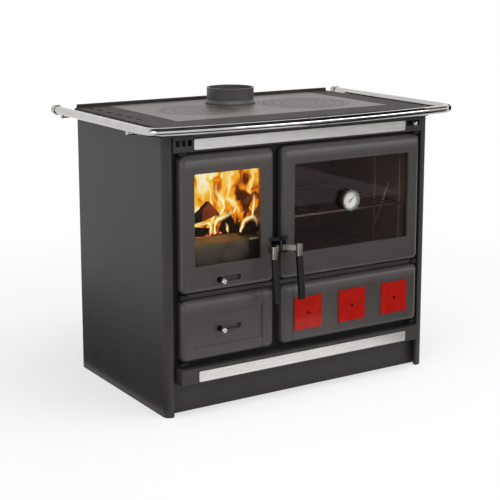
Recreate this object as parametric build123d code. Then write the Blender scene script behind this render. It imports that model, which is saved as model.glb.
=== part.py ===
from build123d import *
import math
import os

# Wood cookstove. Millimetres, +X to the viewer's right, +Y to the back, +Z up.
# While it is modelled, y = 0 is the front plane of the side pillars and z = 0 is the floor.
# On export everything moves so that the origin is under the middle of the overall box.

# Casing
body_width = 940.0
body_depth = 556.0
sheet = 3.0                   # folded steel of the casing
pillar_width = 27.0           # face of each front pillar
pillar_round = 19.0           # rounded outer edge of each pillar, ending where the door frame ends
frame_face_y = 13.0           # front face of the door frame, behind the pillars' face
frame_thickness = 6.0
plinth_height = 97.0
plinth_recess = 30.0
band_height = 45.0
band_proud = 25.0             # how far the lower band stands in front of the pillars
band_inset = 11.0             # from the pillar to the end of the lower band
band_to_door = 18.5
lower_door_height = 183.5
door_row_gap = 16.0
upper_door_height = 397.0
head_gap = 8.0
head_panel_height = 45.0
head_panel_proud = 4.0
head_panel_inset = 2.0
base_lift = 3.0               # from the lower frame openings' sill down to the base plate's underside
strip_thickness = 1.5
strip_corner = 4.0
upper_strip_height = 30.0
upper_strip_drop = 10.0       # from the head panel's top edge to the strip
upper_strip_half_length = 375.0
lower_strip_height = 31.0
lower_strip_drop = 10.0
lower_strip_half_length = 376.0

# Doors
door_proud = 18.0             # front face of the doors, in front of the pillars' face
door_depth = 26.0
door_skin = 8.0
door_edge_round = 16.0
door_corner_round = 18.0
door_side_gap = 17.0          # dark channel between a pillar and a door
column_x = -101.5             # middle of the gap between the two upper doors
column_gap = 27.0
door_rim_side = 24.0
door_rim_end = 14.0
window_side = 43.0
window_bottom = 76.0
window_top = 54.0
window_corner = 6.0
window_taper = 2.5
glass_thickness = 4.0
glass_overlap = 12.0
seal_width = 8.0
seal_gap = 0.3
seal_from_side = 14.0
seal_from_end = 3.0
clip_length = 14.0
clip_foot = 6.0
clip_reach = 6.0
clip_thickness = 2.0
clip_from_end = 60.0
stile_split_left = 41.0       # from the ash front's inner edge to the joint line with its fixed stile
stile_split_right = 39.8
stile_gap = 1.5
ash_panel_inset = 38.0
ash_panel_end = 43.0
ash_panel_depth = 2.0

# Hinges
hinge_inset = 10.0            # from a door's hinge edge to the pin
hinge_y = -4.0
pin_radius = 4.0
pin_clearance = 0.05
pin_reach = 12.0              # how far a pin enters a door
pin_hole_spare = 2.0
lug_half_width = 11.0
lug_front = 8.0               # lug material in front of the pin's centre
lug_thickness = 6.0
lug_clearance = 1.5
cross_bar_front = -6.0
cross_bar_clearance = 2.0

# Levers and latch
lever_pivot_offset = 11.0     # from the middle of the column gap to a lever's pin
lever_pivot_y = -28.0
lever_pin_radius = 4.0
lever_hub_radius = 6.5
lever_nose = 1.4              # cam nose that stands out of the hub towards the keeper
lever_grip_offset = 43.0      # from the middle of the column gap to a grip
lever_grip_y = -63.0
lever_arm_height = 16.0
lever_arm_thickness = 5.0
cap_radius = 9.5
cap_length = 38.0
cap_drop = 16.0               # from the arm's lower edge down to the cap's lower end
grip_radius = 11.0
grip_length = 127.0
grip_lean = 17.0              # the lower end stands this much further out
grip_end_round = 4.0
latch_rise = 110.0            # above the upper doors' lower edge
latch_half_height = 15.0
ear_thickness = 8.0
ear_clearance = 0.5
bracket_back_x = 22.0         # from the pivot back over the door's face
keeper_half_width = 2.5
keeper_front = -34.0

# Air sliders
slot_length = 82.0
slot_height = 19.0
slot_left = 114.0             # from the fire door's hinge edge to the slot
fire_slot_rise = 32.0         # slot's middle above the fire door's lower edge
knob_from_slot = 9.0
knob_radius = 9.0
knob_stand_off = 26.0         # ball centre in front of the door face
stem_radius = 4.0
rosette_radius = 8.6
rosette_thickness = 3.0
slider_clearance = 0.3
shutter_height = 30.0
shutter_thickness = 2.0
shutter_spare_left = 14.0     # shutter beyond the slot's ends
shutter_spare_right = 4.0

# Thermometer on the oven glass
gauge_from_edge = 243.0       # from the oven door's free edge
gauge_rise = 215.5            # above the oven door's lower edge
gauge_case_radius = 29.0
gauge_bezel_radius = 32.0
gauge_depth = 18.0
gauge_bezel_depth = 5.0
gauge_rim = 4.0
gauge_dial_thickness = 1.0
gauge_dial_recess = 5.0
gauge_post_radius = 1.5
gauge_stem_radius = 6.0
gauge_nut_radius = 10.0
gauge_nut_thickness = 5.0
gauge_clearance = 0.3
needle_length = 21.0
needle_tail = 8.0
needle_width = 2.4
needle_hub_radius = 3.5
needle_thickness = 1.0
needle_lift = 0.5
needle_angle = 52.0           # from the upright, clockwise as seen from the front
running_clearance = 0.05

# Tiles
tile_size = 100.0
tile_pitch = 163.0
tile_from_split = 53.8        # from the store door's free edge line to the first tile's middle
tile_drop = 4.0               # below the middle of the lower fronts
tile_thickness = 4.0
tile_proud = 3.0              # how far the tiles stand out of the store door's face
tile_clearance = 0.75
tile_screw_radius = 2.0
tile_screw_head = 4.2
tile_screw_head_height = 1.6

# Top
top_overhang_side = 10.0
top_overhang_front = 12.0
top_overhang_back = 10.0
top_frame_height = 28.0
top_skin = 7.0
top_skirt = 5.0
top_corner_front = 35.0
top_corner_back = 15.0
top_edge_round = 6.0
lip_height = 10.0
lip_thickness = 11.0
lip_inset = 8.0
lip_from_back = 7.0
lip_round = 4.0
plate_from_left = 103.0       # from the casing's sides, front and back to the hob plate
plate_from_right = 83.0
plate_from_front = 101.0
plate_from_back = 14.0
plate_thickness = 12.0
plate_clearance = 1.0
plate_ledge = 9.0
plate_rim = 6.0
vent_slot_count = 6
vent_slot_length = 42.0
vent_slot_width = 8.0
vent_slot_pitch = 66.0
vent_slot_first_y = 190.0
vent_slot_from_edge = 38.0
hob_edge_web = 52.0           # iron left between the plate's left edge and the hob's opening
hob_from_front = 195.0
middle_web = 113.0            # iron left between the hob's opening and the cover's
outer_ring_width = 33.0
inner_ring_width = 34.0
cover_edge_web = 47.0         # iron left between the cover's opening and the plate's right edge
cover_from_front = 185.0
cover_larger = 21.0           # the cover's radius over the hob's
cover_hole_radius = 3.0
seat_width = 8.0              # ledge that carries each ring, lid or cover
ring_clearance = 0.5
groove_width = 2.0
groove_depth = 1.2
flue_offset = -8.97           # from the middle between the hob and the cover
flue_from_back = 137.0        # from the plate's back edge
flue_radius = 75.0
flue_wall = 6.0
flue_height = 52.0
flue_flange_radius = 80.0
flue_flange_height = 5.0
flue_cone_height = 9.0
flue_hole_radius = 64.0

# Rail
rail_stand_off = 60.0         # from the casing's side out to the rail's middle
rail_drop = 5.0               # from the hob's face down to the rail's middle
rail_radius = 12.5
rail_wall = 2.0
rail_front_y = -84.0
rail_bow_radius = 3375.0
rail_corner_radius = 45.0
rail_past_back = 10.0
rail_knob_collar_radius = 15.5
rail_knob_neck_radius = 10.0
rail_knob_radius = 14.5
rail_knob_collar_length = 7.0
rail_knob_neck_length = 4.0
rail_knob_length = 13.0
rail_knob_round = 4.0
post_radius = 6.0
post_bar_radius = 5.0
post_front_y = 95.0
post_from_back = 21.0
post_bar_drop = 22.0          # from the hob's face down to the bar that carries a post

# Firebox, ash and oven
brick_thickness = 30.0
brick_set_back = 2.0          # brick faces behind the edge of the door opening
firebox_depth = 421.0
firebox_floor_thickness = 6.0
firebox_floor_drop = 2.0
side_brick_drop = 13.0        # below the top of the door openings
back_brick_drop = 10.0        # below the top frame
partition_thickness = 3.0
partition_past = 2.0          # above the top of the door openings
grate_length = 280.0
grate_width = 172.0
grate_thickness = 12.0
grate_border = 14.0
grate_slot_count = 7
grate_slot_width = 9.0
grate_hole_inset = 10.0
grate_front = 66.0
guard_front = 24.0
guard_thickness = 8.0
guard_height = 114.0
guard_ledge_height = 18.0
guard_ledge_depth = 30.0
guard_side_gap = 3.0
ash_pan_height = 112.0
ash_pan_length = 400.0
ash_pan_wall = 2.0
ash_pan_side_gap = 6.0
ash_pan_front_gap = 11.0
oven_wall = 3.0
oven_depth = 460.0
oven_reveal = 2.0             # oven walls stand this far back from the frame's opening
runner_height = 6.0
runner_depth = 9.0
runner_rise = 155.0           # above the oven's floor
rack_wire = 3.0               # radius of the rack's border wire
rack_bar = 2.0
rack_bar_count = 15
rack_side_gap = 2.5
rack_front_gap = 12.0
rack_back_gap = 14.0

# Damper pull rod
damper_from_side = 71.0
damper_drop = 18.0            # below the head panel's top edge
damper_rod_radius = 4.0
damper_clearance = 0.5
damper_knob_radius = 7.5
damper_stand_off = 20.0
damper_gate_y = 300.0
damper_gate_width = 78.0
damper_gate_height = 34.0
damper_gate_thickness = 3.0

# Vents in the head panel
vent_width = 13.0
vent_height = 17.0
vent_pitch = 19.0
vent_count = 3
vent_from_end = 8.0
vent_drop = 11.0

# Places that follow from the sizes above
half_width = body_width / 2
pillar_inner = half_width - pillar_width
inner_half = half_width - sheet
back_face_y = body_depth - sheet
band_bottom = plinth_height
band_top = band_bottom + band_height
lower_door_bottom = band_top + band_to_door
lower_door_top = lower_door_bottom + lower_door_height
upper_door_bottom = lower_door_top + door_row_gap
upper_door_top = upper_door_bottom + upper_door_height
head_bottom = upper_door_top + head_gap
head_top = head_bottom + head_panel_height
top_z = head_top + top_frame_height
rail_z = top_z - rail_drop
casing_top = top_z - top_skin
door_front_y = -door_proud
door_back_y = door_front_y + door_depth
skin_back_y = door_front_y + door_skin
outer_edge = pillar_inner - door_side_gap
fire_right = column_x - column_gap / 2
oven_left = column_x + column_gap / 2
frame_back_y = frame_face_y + frame_thickness
ash_right = fire_right - stile_split_left
store_left = oven_left + stile_split_right
hinge_x = outer_edge - hinge_inset
fire_open = (-outer_edge + door_rim_side, fire_right - door_rim_side)
oven_open = (oven_left + door_rim_side, outer_edge - door_rim_side)
ash_open = (-outer_edge + door_rim_side, ash_right - door_rim_end)
store_open = (store_left + door_rim_end, outer_edge - door_rim_side)
upper_open = (upper_door_bottom + door_rim_end, upper_door_top - door_rim_end)
lower_open = (lower_door_bottom + door_rim_end, lower_door_top - door_rim_end)
base_top = lower_open[0]
firebox_floor_top = upper_open[0] - firebox_floor_drop
tile_z = (lower_door_bottom + lower_door_top) / 2 - tile_drop
tile_first_x = store_left + tile_from_split
gauge_x = oven_left + gauge_from_edge
gauge_z = upper_door_bottom + gauge_rise
latch_z = upper_door_bottom + latch_rise
runner_z = upper_open[0] + oven_reveal + runner_rise
side_brick_top = upper_open[1] - side_brick_drop
back_brick_top = head_top - back_brick_drop
partition_top = upper_open[1] + partition_past
plate_left_x = plate_from_left - half_width
plate_right_x = half_width - plate_from_right
plate_front_y = plate_from_front
plate_back_y = body_depth - plate_from_back
plate_width = plate_right_x - plate_left_x
openings_width = plate_width - hob_edge_web - middle_web - cover_edge_web
hob_radius = openings_width / 4 - cover_larger / 2
cover_radius = hob_radius + cover_larger
hob_ring_radius = hob_radius - outer_ring_width
hob_lid_radius = hob_ring_radius - inner_ring_width
hob_x = plate_left_x + hob_edge_web + hob_radius
hob_y = plate_front_y + hob_from_front
cover_x = plate_right_x - cover_edge_web - cover_radius
flue_x = (hob_x + cover_x) / 2 + flue_offset
cover_y = plate_front_y + cover_from_front
flue_y = plate_back_y - flue_from_back
rail_half_width = half_width + rail_stand_off
rail_end_y = body_depth + rail_past_back
post_back_y = body_depth - post_from_back
damper_x = half_width - damper_from_side
fire_slot_z = upper_door_bottom + fire_slot_rise
ash_slot_z = tile_z
slot_x = -outer_edge + slot_left + slot_length / 2
knob_x = slot_x - slot_length / 2 + knob_from_slot
rail_back_y = rail_end_y + rail_knob_collar_length + rail_knob_neck_length + rail_knob_length
middle_y = (rail_front_y - rail_radius + rail_back_y) / 2

os.makedirs("parts", exist_ok=True)


def keep(name, shape):
    export_step(Pos(0, -middle_y, 0) * shape, f"parts/{name}.step")


def block(x, y, z):
    # A box from (low, high) pairs
    place = Pos((x[0] + x[1]) / 2, (y[0] + y[1]) / 2, (z[0] + z[1]) / 2)
    return place * Box(x[1] - x[0], y[1] - y[0], z[1] - z[0])


def rod(start, end, radius):
    start, end = Vector(*start), Vector(*end)
    along = end - start
    place = Plane(origin=start, z_dir=along)
    return place * Cylinder(radius, along.length, align=(Align.CENTER, Align.CENTER, Align.MIN))


def turned(points, centre):
    # A solid of revolution about an upright axis, from (radius, height) points
    face = make_face(Polyline(*[(r, 0, z) for r, z in points], close=True))
    return Pos(*centre, 0) * revolve(face, Axis.Z)


def slot_tool(x, z, length, height, y):
    plane = Plane(origin=(x, y[1], z), x_dir=(1, 0, 0), z_dir=(0, -1, 0))
    return extrude(plane * SlotOverall(length, height), y[1] - y[0])


def flipped(shape):
    # The mirror image about the middle of the column gap
    return mirror(shape, Plane.YZ.offset(column_x))


def door_blank(x, z):
    # A slab with rounded corners and a softly rounded front edge
    slab = block(x, (door_front_y, door_back_y), z)
    slab = fillet(slab.edges().filter_by(Axis.Y), door_corner_round)
    return fillet(slab.faces().sort_by(Axis.Y)[0].edges(), door_edge_round)


def hollowed(slab, opening, rows):
    pocket = block(opening, (skin_back_y, door_back_y + 1), rows)
    return slab - pocket


def pin_holes(x, z):
    radius = pin_radius + pin_clearance
    depth = pin_reach + pin_hole_spare
    low = rod((x, hinge_y, z[0] - 1), (x, hinge_y, z[0] + depth), radius)
    high = rod((x, hinge_y, z[1] - depth), (x, hinge_y, z[1] + 1), radius)
    return low + high


def window_tool(x, z):
    opening = block(x, (door_front_y - 1, skin_back_y + 1), z)
    return fillet(opening.edges().filter_by(Axis.Y), window_corner)


def glass_pane(x, z):
    wide = (x[0] - glass_overlap, x[1] + glass_overlap)
    tall = (z[0] - glass_overlap, z[1] + glass_overlap)
    pane = block(wide, (skin_back_y, skin_back_y + glass_thickness), tall)
    return fillet(pane.edges().filter_by(Axis.Y), window_corner)


def glass_clips(x, z):
    # Four angle clips that hold a pane against the back of the door's skin
    face = skin_back_y + glass_thickness
    solids = []
    for side in (-1, 1):
        edge = (x[0] - glass_overlap) if side < 0 else (x[1] + glass_overlap)
        for middle in (z[0] + clip_from_end, z[1] - clip_from_end):
            rows = (middle - clip_length / 2, middle + clip_length / 2)
            foot = block(sorted((edge, edge + side * clip_foot)), (skin_back_y, face), rows)
            tongue_x = sorted((edge - side * clip_reach, edge + side * clip_foot))
            tongue = block(tongue_x, (face, face + clip_thickness), rows)
            solids.append(foot + tongue)
    return Compound(children=solids)


def seal_ring(x, z):
    outer_x = (x[0] + seal_from_side, x[1] - seal_from_side)
    outer_z = (z[0] + seal_from_end, z[1] - seal_from_end)
    y = (door_back_y, frame_face_y - seal_gap)
    ring = block(outer_x, y, outer_z)
    ring = fillet(ring.edges().filter_by(Axis.Y), seal_width)
    inner_x = (outer_x[0] + seal_width, outer_x[1] - seal_width)
    inner_z = (outer_z[0] + seal_width, outer_z[1] - seal_width)
    return ring - block(inner_x, (y[0] - 1, y[1] + 1), inner_z)


def air_slider(z):
    # Ball knob, stem and rosette in front of the door, with the shutter behind its skin
    ball_y = door_front_y - knob_stand_off
    ball = Pos(knob_x, ball_y, z) * Sphere(knob_radius)
    stem = rod((knob_x, ball_y, z), (knob_x, skin_back_y + slider_clearance, z), stem_radius)
    rosette_back = door_front_y - slider_clearance
    rosette = rod((knob_x, rosette_back - rosette_thickness, z), (knob_x, rosette_back, z), rosette_radius)
    shutter_x = (slot_x - slot_length / 2 - shutter_spare_left,
                 slot_x + slot_length / 2 + shutter_spare_right)
    shutter_y = (skin_back_y + slider_clearance, skin_back_y + slider_clearance + shutter_thickness)
    shutter_z = (z - shutter_height / 2, z + shutter_height / 2)
    shutter = block(shutter_x, shutter_y, shutter_z)
    return ball + stem + rosette + shutter


def stepped_disc(radius, hole, grooves, centre, bottom_hole=0.0):
    # A ring or lid whose rim hangs on a ledge, with turned grooves in its top face
    base_z = top_z - plate_thickness
    seat_z = top_z - plate_thickness / 2
    body = turned([(0, base_z), (radius - seat_width - ring_clearance, base_z),
                   (radius - seat_width - ring_clearance, seat_z), (radius, seat_z),
                   (radius, top_z), (0, top_z)], centre)
    if hole:
        body -= seat_hole(hole, centre)
    if bottom_hole:
        body -= rod((*centre, base_z - 1), (*centre, top_z + 1), bottom_hole)
    for groove in grooves:
        body -= turned([(groove - groove_width / 2, top_z - groove_depth),
                        (groove + groove_width / 2, top_z - groove_depth),
                        (groove + groove_width / 2, top_z + 1),
                        (groove - groove_width / 2, top_z + 1)], centre)
    return body


def seat_hole(radius, centre):
    # The stepped hole that takes a ring, lid or cover of the given radius
    seat_z = top_z - plate_thickness / 2
    wide = rod((*centre, seat_z), (*centre, top_z + 1), radius + ring_clearance)
    return wide + rod((*centre, top_z - plate_thickness - 1), (*centre, seat_z), radius - seat_width)


# Casing
profile = make_face(Polyline(
    (-half_width, body_depth), (-half_width, 0), (-pillar_inner, 0), (-pillar_inner, frame_face_y),
    (-pillar_inner - sheet, frame_face_y), (-pillar_inner - sheet, sheet), (-half_width + sheet, sheet),
    (-half_width + sheet, body_depth), close=True))
for corner, radius in (((-half_width, 0), pillar_round), ((-half_width + sheet, sheet), pillar_round - sheet),
                       ((-pillar_inner, 0), sheet)):
    profile = fillet(profile.vertices().sort_by_distance((*corner, 0))[0], radius)
left_side_panel = extrude(profile, casing_top)
keep("left_side_panel", left_side_panel)
keep("right_side_panel", mirror(left_side_panel, Plane.YZ))

keep("back_panel", block((-inner_half, inner_half), (back_face_y, body_depth), (0, casing_top)))
base_z = (base_top - base_lift, base_top)
keep("base_plate", block((-inner_half, inner_half), (frame_back_y, back_face_y), base_z))
plinth_y = (plinth_recess, plinth_recess + sheet)
keep("plinth", block((-inner_half, inner_half), plinth_y, (0, plinth_height)))
partition_x = (column_x - partition_thickness / 2, column_x + partition_thickness / 2)
keep("centre_partition", block(partition_x, (frame_back_y, back_face_y), (base_top, partition_top)))

# Front frame: openings, cross bars between the door rows, hinge lugs and the latch keeper in one casting
frame_half = inner_half - sheet
frame = block((-frame_half, frame_half), (frame_face_y, frame_back_y), (plinth_height, casing_top))
through = (frame_face_y - 1, frame_back_y + 1)
for opening, rows in ((fire_open, upper_open), (oven_open, upper_open),
                      (ash_open, lower_open), (store_open, lower_open)):
    frame -= block(opening, through, rows)
bar_z = (lower_door_top + cross_bar_clearance, upper_door_bottom - cross_bar_clearance)
for bar_x in ((-outer_edge, fire_right), (oven_left, outer_edge)):
    frame += block(bar_x, (cross_bar_front, frame_face_y), bar_z)
lug_y = (hinge_y - lug_front, frame_face_y)
top_lug_z = (upper_door_top + lug_clearance, upper_door_top + lug_clearance + lug_thickness)
low_lug_z = (lower_door_bottom - lug_clearance - lug_thickness, lower_door_bottom - lug_clearance)
pins = []
for side in (-1, 1):
    axis = (side * hinge_x, hinge_y)
    lug_x = (axis[0] - lug_half_width, axis[0] + lug_half_width)
    for lug_z in (top_lug_z, bar_z, low_lug_z):
        frame += block(lug_x, lug_y, lug_z)
        frame -= rod((*axis, lug_z[0] - 1), (*axis, lug_z[1] + 1), pin_radius)
    for low, high in ((upper_door_top - pin_reach, top_lug_z[1]),
                      (lower_door_top - pin_reach, upper_door_bottom + pin_reach),
                      (low_lug_z[0], lower_door_bottom + pin_reach)):
        pins.append(rod((*axis, low), (*axis, high), pin_radius))
rod_z = head_top - damper_drop
damper_bore = damper_rod_radius + damper_clearance
frame -= rod((damper_x, through[0], rod_z), (damper_x, through[1], rod_z), damper_bore)
latch_z_span = (latch_z - latch_half_height, latch_z + latch_half_height)
keeper_x = (column_x - keeper_half_width, column_x + keeper_half_width)
frame += block(keeper_x, (keeper_front, frame_face_y), latch_z_span)
keep("front_frame", frame)
keep("hinge_pins", Compound(children=pins))

# Head panel with vents, lower band and their brushed strips
head_half = pillar_inner - head_panel_inset
head_y = (-head_panel_proud, frame_face_y)
head = block((-head_half, head_half), head_y, (head_bottom, head_top))
head -= block((-head_half + sheet, head_half - sheet), (0, frame_face_y + 1),
              (head_bottom + sheet, head_top - sheet))
vent_z = (head_top - vent_drop - vent_height, head_top - vent_drop)
vent_y = (-head_panel_proud - 1, 1)
for index in range(vent_count):
    left = -head_half + vent_from_end + index * vent_pitch
    head -= block((left, left + vent_width), vent_y, vent_z)
vent_run = (vent_count - 1) * vent_pitch + vent_width
head -= block((head_half - vent_from_end - vent_run, head_half - vent_from_end), vent_y, vent_z)
keep("upper_front_panel", head)
upper_strip_z = (head_top - upper_strip_drop - upper_strip_height, head_top - upper_strip_drop)
strip_y = (-head_panel_proud - strip_thickness, -head_panel_proud)
upper_strip = block((-upper_strip_half_length, upper_strip_half_length), strip_y, upper_strip_z)
keep("upper_trim_strip", fillet(upper_strip.edges().filter_by(Axis.Y), strip_corner))

band_half = pillar_inner - band_inset
band = block((-band_half, band_half), (-band_proud, frame_face_y), (band_bottom, band_top))
band -= block((-band_half + sheet, band_half - sheet), (-band_proud + sheet, frame_face_y + 1),
              (band_bottom + sheet, band_top - sheet))
band = fillet(band.faces().sort_by(Axis.Y)[0].edges(), sheet / 2)
keep("lower_front_band", band)
lower_strip_z = (band_top - lower_strip_drop - lower_strip_height, band_top - lower_strip_drop)
lower_strip_y = (-band_proud - strip_thickness, -band_proud)
lower_strip = block((-lower_strip_half_length, lower_strip_half_length), lower_strip_y, lower_strip_z)
keep("lower_trim_strip", fillet(lower_strip.edges().filter_by(Axis.Y), strip_corner))

# Doors
upper_z = (upper_door_bottom, upper_door_top)
lower_z = (lower_door_bottom, lower_door_top)
fire_x = (-outer_edge, fire_right)
oven_x = (oven_left, outer_edge)
fire_window = (fire_x[0] + window_side, fire_x[1] - window_side - window_taper)
oven_window = (oven_x[0] + window_side, oven_x[1] - window_side - window_taper)
window_z = (upper_z[0] + window_bottom, upper_z[1] - window_top)
slot_cut_y = (door_front_y - 1, skin_back_y + 1)

fire_door = hollowed(door_blank(fire_x, upper_z), fire_open, upper_open)
fire_door -= window_tool(fire_window, window_z)
fire_door -= slot_tool(slot_x, fire_slot_z, slot_length, slot_height, slot_cut_y)
fire_door -= pin_holes(-hinge_x, upper_z)
keep("fire_door", fire_door)
keep("fire_door_glass", glass_pane(fire_window, window_z))
keep("fire_glass_clips", glass_clips(fire_window, window_z))
keep("fire_door_seal", seal_ring(fire_x, upper_z))
keep("fire_air_slider", air_slider(fire_slot_z))

oven_door = hollowed(door_blank(oven_x, upper_z), oven_open, upper_open)
oven_door -= window_tool(oven_window, window_z)
oven_door -= pin_holes(hinge_x, upper_z)
keep("oven_door", oven_door)
stem_hole_y = (skin_back_y - 1, skin_back_y + glass_thickness + 1)
stem_hole = rod((gauge_x, stem_hole_y[0], gauge_z), (gauge_x, stem_hole_y[1], gauge_z),
                gauge_stem_radius + gauge_clearance)
keep("oven_door_glass", glass_pane(oven_window, window_z) - stem_hole)
keep("oven_glass_clips", glass_clips(oven_window, window_z))
keep("oven_door_seal", seal_ring(oven_x, upper_z))

ash_front = door_blank(fire_x, lower_z)
ash_split = block((ash_right - stile_gap / 2, fire_right + 1), (door_front_y - 1, door_back_y + 1),
                  (lower_z[0] - 1, lower_z[1] + 1))
ash_door = hollowed(ash_front - ash_split, ash_open, lower_open)
ash_panel_half = lower_door_height / 2 - ash_panel_end
ash_panel_z = (ash_slot_z - ash_panel_half, ash_slot_z + ash_panel_half)
ash_panel = block((fire_x[0] + ash_panel_inset, ash_right - stile_gap / 2 - sheet),
                  (door_front_y - 1, door_front_y + ash_panel_depth), ash_panel_z)
ash_door -= ash_panel
ash_door -= slot_tool(slot_x, ash_slot_z, slot_length, slot_height, slot_cut_y)
ash_door -= pin_holes(-hinge_x, lower_z)
keep("ash_door", ash_door)
keep("ash_air_slider", air_slider(ash_slot_z))

store_front = door_blank(oven_x, lower_z)
store_split = block((oven_left - 1, store_left + stile_gap / 2), (door_front_y - 1, door_back_y + 1),
                    (lower_z[0] - 1, lower_z[1] + 1))
store_door = hollowed(store_front - store_split, store_open, lower_open)
store_door -= pin_holes(hinge_x, lower_z)
tile_y = (door_front_y - tile_proud, door_front_y - tile_proud + tile_thickness)
tiles = []
screws = []
for index in range(3):
    x = tile_first_x + index * tile_pitch
    half = tile_size / 2
    reach = half + tile_clearance
    recess_y = (door_front_y - 1, tile_y[1])
    store_door -= block((x - reach, x + reach), recess_y, (tile_z - reach, tile_z + reach))
    tile = block((x - half, x + half), tile_y, (tile_z - half, tile_z + half))
    hole = rod((x, tile_y[0] - 1, tile_z), (x, tile_y[1] + 1, tile_z), tile_screw_radius + gauge_clearance)
    tiles.append(tile - hole)
    head_front = tile_y[0] - tile_screw_head_height
    screw = rod((x, head_front, tile_z), (x, tile_y[0], tile_z), tile_screw_head)
    screws.append(screw + rod((x, tile_y[0], tile_z), (x, tile_y[1], tile_z), tile_screw_radius))
keep("store_door", store_door)
keep("red_tiles", Compound(children=tiles))
keep("tile_screws", Compound(children=screws))

# Fixed stiles between the lower doors and the centre gap, behind the hanging grips
stile_back = (door_back_y, frame_face_y)
stiles = []
for front, x in ((ash_front, (ash_right + stile_gap / 2, fire_right)),
                 (store_front, (oven_left, store_left - stile_gap / 2))):
    stile = front & block(x, (door_front_y - 1, door_back_y), (lower_z[0] - 1, lower_z[1] + 1))
    foot_z = (lower_z[0] + door_corner_round, lower_z[1] - door_corner_round)
    stiles.append(stile + block(x, stile_back, foot_z))
keep("lower_stiles", Compound(children=stiles))

# Levers: fire side, then its mirror image for the oven
pivot = (column_x - lever_pivot_offset, lever_pivot_y)
grip = (column_x - lever_grip_offset, lever_grip_y)
ear_low = (latch_z_span[0] - ear_thickness, latch_z_span[0] - ear_clearance)
ear_high = (latch_z_span[1] + ear_clearance, latch_z_span[1] + ear_thickness)
bracket = rod((*pivot, ear_low[0]), (*pivot, ear_high[1]), lever_pin_radius)
ear_back = pivot[0] - bracket_back_x
for span in (ear_low, ear_high):
    outline = make_face(Polyline((ear_back, door_front_y + door_edge_round / 2),
                                 (ear_back, door_front_y - sheet),
                                 (pivot[0] - lever_hub_radius, pivot[1] - lever_hub_radius), pivot,
                                 (pivot[0] + lever_hub_radius, pivot[1] + lever_hub_radius),
                                 (fire_right - sheet, door_front_y + door_edge_round / 2), close=True))
    ear = Pos(0, 0, span[0]) * extrude(outline, span[1] - span[0])
    bracket += ear + rod((*pivot, span[0]), (*pivot, span[1]), lever_hub_radius)
bracket -= door_blank(fire_x, upper_z)
keep("fire_latch_bracket", bracket)
keep("oven_latch_bracket", flipped(bracket))

hub = rod((*pivot, latch_z_span[0]), (*pivot, latch_z_span[1]), lever_hub_radius)
nose = block((pivot[0], pivot[0] + lever_hub_radius + lever_nose), (pivot[1] - sheet, pivot[1] + sheet),
             (latch_z, latch_z_span[1]))
arm_along = Vector(grip[0] - pivot[0], grip[1] - pivot[1], 0)
arm_turn = math.degrees(math.atan2(arm_along.Y, arm_along.X))
arm_z = latch_z_span[0] + lever_arm_height / 2
arm_bar = Box(arm_along.length, lever_arm_thickness, lever_arm_height,
              align=(Align.MIN, Align.CENTER, Align.CENTER))
arm = hub + nose + Pos(*pivot, arm_z) * Rot(0, 0, arm_turn) * arm_bar
arm -= rod((*pivot, latch_z_span[0] - 1), (*pivot, latch_z_span[1] + 1), lever_pin_radius + running_clearance)
cap_z = (latch_z_span[0] - cap_drop, latch_z_span[0] - cap_drop + cap_length)
cap = rod((*grip, cap_z[0]), (*grip, cap_z[1]), cap_radius)
cap = fillet(cap.edges().filter_by(GeomType.CIRCLE), sheet / 2)
arm -= cap
keep("fire_lever_arm", arm)
keep("oven_lever_arm", flipped(arm))
keep("fire_lever_cap", cap)
keep("oven_lever_cap", flipped(cap))
grip_end = (grip[0], grip[1] - grip_lean, cap_z[0] - grip_length)
handle = rod(grip_end, (*grip, cap_z[0] + grip_lean), grip_radius)
handle = fillet(handle.edges().filter_by(GeomType.CIRCLE).sort_by(Axis.Z)[0], grip_end_round)
handle &= block((grip[0] - cap_length, grip[0] + cap_length), (grip[1] - cap_length, grip[1] + cap_length),
                (cap_z[0] - 2 * grip_length, cap_z[0]))
keep("fire_lever_grip", handle)
keep("oven_lever_grip", flipped(handle))

# Thermometer
def gauge_disc(y, radius):
    return rod((gauge_x, y[0], gauge_z), (gauge_x, y[1], gauge_z), radius)


gauge_front = skin_back_y - gauge_depth
bezel_back = gauge_front + gauge_bezel_depth
dial_front = gauge_front + gauge_dial_recess
dial_back = dial_front + gauge_dial_thickness
dial_radius = gauge_bezel_radius - gauge_rim
nut_y = (skin_back_y + glass_thickness, skin_back_y + glass_thickness + gauge_nut_thickness)
case = gauge_disc((bezel_back, skin_back_y), gauge_case_radius)
case += gauge_disc((gauge_front, bezel_back), gauge_bezel_radius)
case -= gauge_disc((gauge_front - 1, dial_back), dial_radius)
case += gauge_disc((skin_back_y, nut_y[1]), gauge_stem_radius)
case += gauge_disc(nut_y, gauge_nut_radius)
keep("gauge_case", case)
dial = gauge_disc((dial_front, dial_back), dial_radius)
post_front = dial_front - needle_lift - needle_thickness - needle_lift
dial += gauge_disc((post_front, dial_front), gauge_post_radius)
keep("gauge_dial", dial)
needle_y = (dial_front - needle_lift - needle_thickness, dial_front - needle_lift)
needle_face = make_face(Polyline((-needle_width, -needle_tail), (needle_width, -needle_tail),
                                 (needle_width / 2, 0), (needle_width / 6, needle_length),
                                 (-needle_width / 6, needle_length), (-needle_width / 2, 0), close=True))
needle_plane = Plane(origin=(gauge_x, needle_y[1], gauge_z), x_dir=(1, 0, 0), z_dir=(0, -1, 0))
needle = extrude(needle_plane * Rot(0, 0, -needle_angle) * needle_face, needle_thickness)
needle += gauge_disc(needle_y, needle_hub_radius)
needle -= gauge_disc((needle_y[0] - 1, needle_y[1] + 1), gauge_post_radius + running_clearance)
keep("gauge_needle", needle)

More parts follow.
